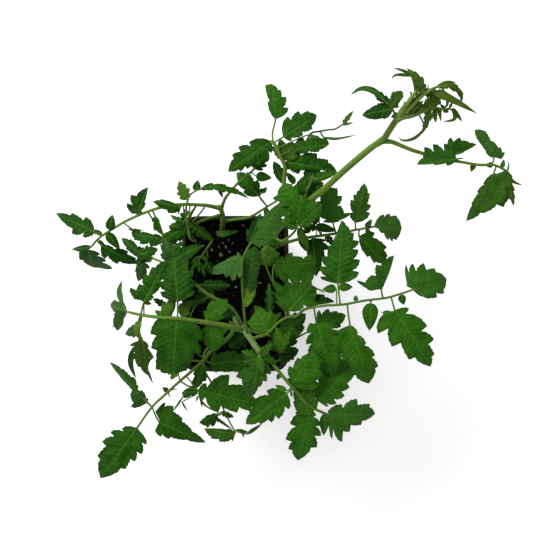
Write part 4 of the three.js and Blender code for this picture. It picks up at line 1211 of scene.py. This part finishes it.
compound_leaf("tip_leaf_north", long_stem, 341.5, [
    (408, 109.5, 346), (414, 103.5, 350), (420, 98, 354), (427, 92, 357), (434, 88, 358), (441, 86, 357),
], (2.1, 1), [
    toothed((438, 87, 358), (461.5, 103, 346), 4,
        through=[(448, 85.5, 358), (456, 89, 355), (461, 95.5, 351)], tone=0.5),
    oval((436, 87, 358), (457, 82.5, 354), 1.8, through=[(447, 82.3, 357)], tone=0.6),
    oval((434, 92, 355), (478.5, 113.8, 344), 4.6, through=[(446, 97, 352)], yellow=0.2, tone=0.8),
    toothed((424, 92.5, 354), (446, 96, 350), 5, tone=0.4),
    toothed((430, 95, 352), (437, 105, 348), 2.5),
    oval((447, 99, 350), (442, 109.5, 344), 1.5, through=[(447, 105, 347)]),
    oval((452, 103, 347), (448, 111, 343), 1.5),
    oval((440, 97, 351), (437, 106, 346), 1.5),
], young_blade, young_skin, "young_leaf")
compound_leaf("tip_leaf_east", long_stem, 333, [
    (403, 116.5, 338), (410, 115.5, 340), (417, 113.5, 341), (424, 110.5, 342), (432, 109, 341),
    (440, 109, 340), (450, 109, 338),
], (3.2, 0.9), [
    lobed((422, 110, 342), (440, 97, 346), (422, 104, 428, 97, 438, 108, 442, 103), tone=1, pale=0.2),
    toothed((428, 109, 341), (422, 134, 326), 4.2, through=[(427, 120, 336)], tone=0.6),
    oval((425, 128, 330), (398.3, 136, 322), 1.7, tone=0.3,
        through=[(417, 136.5, 325), (410, 140, 323), (402, 140.3, 322)]),
    toothed((434, 110, 340), (436, 122.5, 333), 3),
    oval((439, 109, 340), (441, 122, 335), 1.8),
    toothed((425, 108, 342), (433, 119, 338), 3.5, tone=0.8),
    toothed((430, 105, 344), (441, 114, 340), 3, tone=0.4),
    toothed((437, 108, 341), (442, 112, 338), 2.6, tone=0.1),
    toothed((445, 109, 340), (440, 104, 341), 2, tone=0.1),
    toothed((443, 110, 340), (449, 112, 338), 2.6, tone=0.1),
    oval((452, 109, 338), (442, 121.5, 328), 2.4, through=[(455, 115, 334), (453, 120, 330)]),
    oval((452, 108, 338), (462.5, 122, 329), 2.4, tone=0.4),
    oval((409, 113, 343), (424, 100, 352), 3, tone=0.6),
    toothed((413, 110, 345), (427, 104, 349), 3, tone=0.3),
    toothed((412, 111, 343), (425, 112, 341), 2.5, tone=0.7),
    toothed((414, 105, 348), (420, 101, 351), 2, tone=0.2),
], young_blade, young_skin, "young_leaf")

# ---------------------------------------------------------------- leaves of the furry stem
# The furry stem in the pot's middle carries the most leaves, which spread over its south half.
# Their lowest ones hang in the shade, and those on top are the largest of the plant.
compound_leaf("centre_leaf_east", furry_stem, 231, [
    (257, 337, 236), (264, 335, 238), (271, 330, 239), (279, 322, 240), (287, 317.5, 240), (296, 316, 240),
    (305, 309.5, 241), (323, 305.8, 241), (343.6, 304.4, 240), (364.4, 300.6, 237), (386.7, 297.7, 232),
    (399.4, 294.2, 228), (411.4, 290.2, 223),
], (1.4, 1), [
    lobed((289, 311, 243), (311, 284, 240), (
        281, 309, 275, 300, 273, 291, 275, 281, 287, 281, 304, 307, 319, 304, 325, 293, 317, 289,
    ), tone=0.5),
    lobed((274, 266, 240), (316, 262, 237), (
        283, 256, 292, 252.5, 302, 257, 312, 254, 277, 278, 288, 283, 300, 288, 312, 289,
    ), tone=0.6, stalk=[(282, 300, 240), (274, 284, 240)]),
    lobed((306, 302, 235), (335, 302, 228), (313, 290, 324, 294.5, 312, 306), tone=0),
    lobed((266, 266, 236), (271, 247, 236), (261, 263, 262, 251, 279, 263, 280, 253), tone=0.5, pale=0.3,
        yellow=0.15, stalk=[(284, 305, 236), (274, 285, 236)]),
    lobed((268, 333, 239), (254, 305, 242), (262, 335, 246.5, 322, 254, 313, 271, 311, 281, 312, 277, 322),
        tone=0.9, yellow=0.12),
    lobed((338, 284, 241), (342, 220, 232), (
        335, 236, 328, 246, 321, 257, 319.5, 267, 320, 277, 348, 226, 354, 233, 359, 241, 358.5, 250,
        360, 260, 359, 272,
    ), tone=0.42),
    oval((336, 288, 241), (322, 290, 239), 4.5),
    oval((339, 287, 241), (353, 287, 239), 4.5),
    lobed((381.5, 290, 237), (394.5, 255.5, 226), (367, 290, 357, 281, 371, 275.5, 376, 265, 384.5, 258.5),
        cut=0.32, tone=0.4, stalk=[(383, 298, 234)]),
    lobed((412, 289.5, 223), (447, 279, 208), (
        406.5, 285, 406, 265, 412.5, 263.5, 423, 263, 434, 268, 443, 274.5, 444.5, 293.5, 437, 297.5,
    ), tone=0.75, pale=0.2),
    oval((356, 301, 239), (355.5, 295, 239), 2.5),
    oval((401, 295, 228), (404, 305, 226), 4),
    oval((370.5, 303, 236), (369.5, 331, 226), 8),
    lobed((395, 310, 231), (431, 367, 212), (
        381, 312, 377.5, 333, 391, 346, 408, 359, 409, 309, 427, 325.5, 434, 339, 435, 354,
    ), cut=0.42, tone=0.75),
    lobed((350, 325, 236), (369, 384, 214), (
        334, 333, 337, 346, 342, 360, 352, 375, 358, 333, 366, 343, 375, 355, 378.5, 366,
    ), tone=0.75, cut=0.25),
    lobed((316.5, 323, 235), (334, 380, 220), (
        308, 323, 307, 333, 306, 344, 308, 354, 318, 370, 337, 326, 345, 338, 347, 351, 342, 364,
    ), tone=0.6),
])
compound_leaf("centre_leaf_southeast", furry_stem, 243, [
    (264, 354, 247), (272, 363, 248), (280, 373, 247), (290, 385, 245), (296, 391.5, 242), (303, 400, 237),
    (311, 407, 231), (326, 414, 222),
], (1.7, 1.3), [
    lobed((328, 414, 222), (375.5, 414, 206), (
        327, 408.5, 341, 404, 356, 398.5, 369, 403.5, 361, 425, 350, 432, 343, 442, 333, 439,
    ), pale=0.3, tone=0.6, cut=0.38),
    lobed((310, 409, 228), (298, 461, 208), (
        290, 423, 285.4, 438.5, 288, 448.5, 316, 416, 320.5, 426, 321, 436, 317, 447,
    ), tone=0.6, cut=0.38),
    lobed((287, 393, 242), (245.5, 424.5, 224), (
        267, 390, 256, 398, 249, 410, 288.5, 409.5, 278.5, 419, 271.5, 422.5, 261, 424,
    ), tone=0.5),
    oval((286, 391, 243), (275, 385, 241), 3.2),
    oval((280, 374, 246), (277, 380, 243), 2.5),
    oval((291, 391, 243), (292, 398, 241), 1.3),
    lobed((318, 401, 228), (355, 362, 204), (
        309, 390, 313, 380, 320, 370, 335, 358, 329, 406, 337, 403, 345, 395.5, 350, 387, 354, 376,
    ), tone=0.7),
    oval((325, 414, 222), (323.5, 436, 214), 5, tone=0.6),
    lobed((291, 386, 243), (313, 352, 238), (287.5, 378, 289, 366, 297, 358, 319, 386, 324, 374, 323, 360),
        tone=0.6),
    lobed((309, 415, 229), (300, 382, 236), (295, 413, 293, 402, 293, 391, 317, 399, 314, 388), tone=0.6,
        yellow=0.1, cut=0.15),
    toothed((274, 364, 247), (279, 359.5, 246), 1, pale=1),
])
compound_leaf("centre_leaf_west", furry_stem, 200, [
    (232, 327, 215), (217, 324, 222), (200, 321.5, 229), (177.6, 318.5, 233), (160, 317.5, 232),
    (141, 315, 226), (132, 313, 222), (126.5, 311.7, 219),
], (2.8, 1.0), [
    lobed((127, 312, 219), (117, 331, 196), (113, 315, 112.5, 323, 124.5, 318, 122.5, 326), pale=0.35,
        tone=0.05, yellow=0.1, cut=0.15),
    lobed((127, 312, 219), (110, 304.5, 196), (121, 300, 114.5, 299.5, 119, 315, 112.5, 311), pale=0.4,
        tone=0.05, yellow=0.1, cut=0.3),
    oval((122, 303, 210), (122, 280.5, 196), 3, through=[(119.5, 291, 202)], pale=0.9, tone=0.8),
    oval((123, 319, 206), (110.5, 328.5, 196), 1, pale=0.7),
    lobed((144, 302, 230), (166, 260, 226), (
        131, 298, 130, 287.5, 139, 284, 144, 274, 152, 267, 154, 297, 161, 286, 169, 268,
    ), tone=0.3, cut=0.35, stalk=[(141.5, 311, 228)]),
    lobed((177.6, 302, 234), (174, 257, 226), (
        160, 292, 158, 282, 161, 273, 165, 262, 195, 291, 196, 281, 194, 271, 189, 261,
    ), tone=0.28),
    lobed((177, 319, 234), (173, 373.5, 218), (
        151.5, 317, 150, 334, 151, 348, 155, 370, 163, 371.5, 200, 321, 204, 340, 201.5, 352, 186, 371,
    ), tone=0.4, cut=0.25),
    lobed((206, 319, 222), (227, 299, 226), (204, 310, 212, 300, 224, 318, 229, 308), tone=0.8),
    lobed((210, 324, 222), (214, 352, 214), (202, 332, 204, 345, 228, 330, 225, 344), tone=0.8),
    lobed((171, 317, 228), (176, 298, 224), (154, 316, 155, 310, 162, 303, 170, 299), tone=0.5,
        yellow=0.25),
    lobed((181, 317, 222), (192, 300, 218), (180, 303, 190, 313), tone=0.2, yellow=0.4),
    toothed((166, 306, 219), (153, 298.5, 216), 4, tone=0),
    oval((189, 319, 224), (196, 303, 222), 0.7, pale=1),
    lobed((138, 326, 222), (125, 334.5, 208), (131, 325.5, 128, 328, 134, 338), tone=0.1, pale=0.6,
        stalk=[(141, 318, 225)]),
    toothed((141, 316, 228), (139, 325, 224), 2.2, tone=0.2),
    toothed((143.5, 302, 230), (153, 290, 226), 2.5, pale=1, tone=0.9),
    toothed((144, 302, 229), (151.5, 304, 226), 2.5, tone=0.3),
    oval((140, 320, 227), (144.5, 344, 214), 3.8, through=[(137, 331, 221)], yellow=0.9, tone=1, pale=0.7),
    lobed((142, 340, 215), (148, 376, 184), (
        130, 347, 131, 353, 130, 360, 138, 367, 149, 346, 152, 356, 149, 363,
    ), tone=0.3, yellow=0.2, stalk=[(141, 319, 224), (138, 331, 219)]),
    oval((132, 350, 205), (136, 379, 180), 3, through=[(131, 364, 190)], tone=0.1, pale=0.2,
        stalk=[(141, 319, 224), (138, 331, 219), (139, 341, 212)]),
    oval((147.5, 370, 188), (153, 384, 176), 1.3, tone=0.1,
        stalk=[(141, 319, 224), (138, 331, 219), (143, 345, 210), (147, 360, 196)]),
    oval((153, 357, 205), (147, 371, 190), 1.3, through=[(149, 361, 198)], tone=0.1,
        stalk=[(141, 319, 224), (138, 331, 219), (145, 345, 210)]),
])
compound_leaf("centre_leaf_southwest", furry_stem, 165, [
    (228, 338, 172), (212, 350, 176), (203, 361, 179), (192, 371, 181), (180, 381, 182), (168, 392, 182),
    (152, 407, 180), (137, 428, 174),
], (1.9, 1.1), [
    lobed((137, 428, 174), (100, 479, 160), (
        122, 428.5, 110.5, 432, 102.5, 441, 97.5, 455, 146.5, 444.5, 142, 454, 135.5, 461, 126, 468.5,
    ), tone=0.38, cut=0.28),
    lobed((147, 403, 178), (133, 389, 178), (131, 406.5, 130, 394, 148, 398, 142, 390), tone=0.1, pale=0.3),
    lobed((137, 391, 178), (109, 362, 166), (130, 388, 120.5, 377, 138, 385, 134, 377, 124, 369), tone=0.2,
        pale=0.2, cut=0.2),
    lobed((159, 422, 178), (206, 443, 162), (
        155.5, 410, 164.5, 402.5, 173, 406, 182, 417.5, 191, 428.5, 154, 434, 161, 437, 169, 439, 184, 440,
    ), stalk=[(152, 408, 180)], cut=0.24, tone=0.4),
    oval((168, 391.5, 182), (162.5, 387, 183), 2.6),
    oval((170, 391, 182), (178, 390.5, 180), 0.7, through=[(174, 389, 182)]),
    oval((168.5, 392, 182), (169.5, 398.5, 180), 0.7),
    lobed((198, 390, 183), (259, 404, 176), (
        206, 383, 229, 374.5, 247, 385.5, 203, 400, 218, 412.5, 237, 412.5, 250, 411,
    ), stalk=[(181, 382, 182), (189, 386.5, 183)], cut=0.45, tone=0.55),
    lobed((198, 391, 182), (181.5, 393, 176), (190, 385.5, 184, 398.5, 192, 397), tone=0.4),
    lobed((204, 364, 181), (194, 390, 172), (193, 374, 191, 384, 208, 371, 206, 381), tone=0.6, pale=0.1),
    toothed((186, 361, 180), (160, 372, 172), 9, stalk=[(203, 361, 180)]),
    lobed((177, 370, 180), (170.5, 380, 172), (171, 370, 177, 377), tone=1, yellow=0.4,
        stalk=[(180, 380, 182)]),
    lobed((210, 363, 180), (253, 360, 176), (215, 352, 235, 350, 217, 372.5, 229, 372, 240, 372), tone=0.5),
    toothed((197, 353, 181), (186, 335, 180), 8),
])
compound_leaf("centre_leaf_south_low", furry_stem, 138, [
    (222, 335, 144), (205, 352, 148), (204, 368, 150), (211, 382, 152), (221, 403, 152), (226, 415, 151),
    (234, 430, 148),
], (1.2, 0.7), [
    lobed((217, 414, 150), (199, 422.5, 142), (212, 413.5, 206, 415.5, 218, 423, 212, 427, 207, 428),
        tone=0.2),
    oval((215, 417, 148), (233, 430, 146), 1.6, tone=0.2),
    lobed((235, 434, 148), (204, 428.5, 138), (229, 428.5, 211, 438.5, 219, 441.5, 232, 441.5), cut=0.25,
        tone=0.35, yellow=0.15),
    oval((247, 434, 146), (262.5, 423.5, 138), 2, tone=0.4),
    toothed((236, 430.5, 147), (248, 432, 144), 2.5, tone=0.3),
    oval((242, 431, 146), (244, 438, 143), 1.2, tone=0.3),
    toothed((222, 413, 151), (234, 417, 147), 3.5),
    oval((199, 395, 150), (215, 412, 148), 1.3, through=[(203, 403, 150)], tone=0.3,
        stalk=[(212, 385, 152)]),
    oval((198, 396, 150), (196, 402, 147), 1, tone=0.3),
    oval((201, 399, 150), (202, 408, 147), 1.1, tone=0.3),
    oval((183, 397, 148), (171, 414, 142), 1.1, tone=0.9, stalk=[(204, 372, 150), (190, 390, 149)]),
    oval((182, 402, 147), (187.5, 411.5, 144), 1, tone=0.3),
])
compound_leaf("centre_leaf_south", furry_stem, 253, [(260, 357, 257), (259, 364, 257)], (1.6, 1.2), [
    lobed((259, 360, 257), (251, 398, 240), (
        246, 364, 236, 377, 243, 386, 268, 362, 271, 374, 267, 381, 261, 386,
    ), tone=0.4, pale=0.15),
    toothed((260, 356, 257), (272, 343, 250), 5, tone=0.5, pale=0.1),
    toothed((260, 357, 256), (277, 362, 250), 5.5, tone=0.4),
    toothed((258, 357, 256), (241, 351, 248), 5.5, tone=0.2),
    toothed((259, 358, 259), (263, 375, 256), 5, tone=0.8, pale=0.2),
    toothed((258, 358, 257), (243, 362, 250), 4.5, tone=0.25, pale=0.2),
])
compound_leaf("centre_leaf_north", furry_stem, 219, [
    (245, 322, 232), (243.5, 305, 246), (242, 280, 262), (242, 262, 270), (247, 249, 273), (252, 242, 274),
], (1.2, 0.8), [
    lobed((252, 243, 275), (280, 203, 276), (
        257, 231, 259.5, 219, 266, 212, 262, 249, 272, 241, 277, 237, 283, 224, 285, 213,
    ), pale=0.45, tone=0.6),
    lobed((250, 243, 262), (261, 213, 258), (246, 238, 246.5, 229, 252, 221, 262, 230), tone=0),
    lobed((243, 260, 270), (213, 267, 254), (
        237, 252, 227, 259, 213, 274.5, 226, 277.5, 232, 281, 239, 278,
    ), pale=0.9, tone=1),
    lobed((246, 303, 248), (254, 246, 262), (
        242, 290, 241.5, 272, 242, 257, 256, 294, 258, 281, 260, 266, 262, 254,
    ), tone=0.3, pale=0.25, cut=0.2),
    lobed((247, 306, 250), (253, 284, 253), (243, 297, 244, 288, 253, 299, 256, 291), tone=0.9, yellow=0.7),
])
compound_leaf("centre_leaf_northwest", furry_stem, 183, [
    (233, 310, 205), (222, 302, 212), (209, 295, 217), (200, 288, 219), (183, 274, 216), (166, 264, 211),
    (152, 258, 207),
], (1.9, 1), [
    lobed((200, 285, 217), (231, 285, 208), (212, 279.5, 222, 280, 212, 291, 222, 291), tone=0),
    lobed((166, 263, 214), (203, 245, 208), (168, 251, 183, 246.5, 186, 264, 193, 256.5), tone=0.35,
        cut=0.2),
    lobed((170, 263, 213), (165, 239, 208), (160, 254, 160, 245, 175, 254, 174, 245), tone=0.1, pale=0.4),
    lobed((147, 259, 206), (121, 238, 198), (140, 246, 131, 239, 137, 260, 126, 249), tone=0.2),
    lobed((142, 256, 205), (138, 281.5, 190), (135, 264, 135, 272, 147, 262, 150, 268, 147, 275), tone=0.15,
        pale=0.7),
    toothed((141, 254, 208), (158, 249, 206), 7, tone=0.35),
    toothed((150, 262, 206), (144, 249, 200), 6, tone=0.2),
    toothed((172, 250, 212), (185, 241, 208), 3.5, tone=0.1),
    lobed((207, 298, 214), (189, 304, 206), (201, 304, 194, 308, 196, 295), tone=0.2),
    toothed((233, 310, 206), (222, 318, 200), 7, tone=0.1),
    toothed((214, 296, 214), (197, 290, 206), 6, tone=0.05, pale=0.2),
    toothed((222, 301, 210), (206, 308, 200), 5, tone=0.1),
    toothed((190, 280, 215), (186, 297, 204), 6, tone=0.1),
])
compound_leaf("centre_leaf_inner_east", furry_stem, 148, [
    (250, 330, 157), (264, 334, 163), (280, 338, 167), (290, 342, 167),
], (1.5, 1), [
    lobed((281, 334, 170), (306, 314, 166), (284, 319, 295, 312, 289, 336, 304, 327), tone=0.1),
    lobed((280, 353, 172), (291, 327, 172), (
        269, 350, 268, 340, 270, 331, 279, 327, 294, 349, 298, 341, 302, 331,
    ), tone=0.35, cut=0.4),
    toothed((283, 352, 178), (276, 327, 180), 6.5, tone=0.9, yellow=0.2),
    toothed((281, 350, 180), (290, 330, 180), 5, tone=0.8, yellow=0.25),
    lobed((286, 338, 169), (305, 327, 166), (291, 328, 299, 337), tone=0.4, pale=0.3),
    lobed((278, 350, 169), (299, 350, 164), (283, 365, 294, 360, 290, 345, 296, 347), tone=0.1),
    oval((279, 360, 164), (291, 361, 162), 2.5, pale=1, tone=1),
    lobed((318, 327, 168), (346, 315, 164), (319, 310, 328, 308.5, 337, 311, 331, 331, 341, 327), tone=0.5,
        stalk=[(300, 336, 166)]),
    toothed((270, 313, 166), (269, 283, 158), 5, tone=0),
    lobed((244, 336, 166), (229, 347, 162), (231, 334, 228, 342, 245, 349, 236, 350), tone=0),
])

# ---------------------------------------------------------------- young shoot
# A shoot of its own, rooted in the soil beside the thin stem and a few weeks younger. It is a soft
# thin stalk, which nods over under a bunch of small narrow leaves.
YOUNG_SHOOT = ((213, 239, 82), (212, 241, 108), (208, 247, 122), (203, 254, 130), (199, 260, 132))
grow_leaf("young_shoot", smooth_path([place(*point) for point in YOUNG_SHOOT], 6), (1.2, 0.7), [
    toothed((207, 262, 129), (212.5, 275, 125), 5, tone=0.15),
    oval((207, 249, 126), (207.5, 266, 128), 1, tone=0.4),
    oval((203, 254, 131), (204, 271, 128), 1.1, through=[(206, 262, 131)], tone=0.6),
    oval((201, 256, 131), (190, 264, 127), 1.1, through=[(196, 258, 131)], tone=0.6),
    toothed((199, 259, 132), (192, 271, 127), 2, tone=0.4),
    toothed((199, 260, 132), (198.5, 273, 128), 2, tone=0.3),
    toothed((200, 262, 130), (205, 277, 126), 3, tone=0.25),
    toothed((195, 262, 130), (189, 276, 125), 2, tone=0.2),
], mature_blade, smooth_skin, "young_leaf")
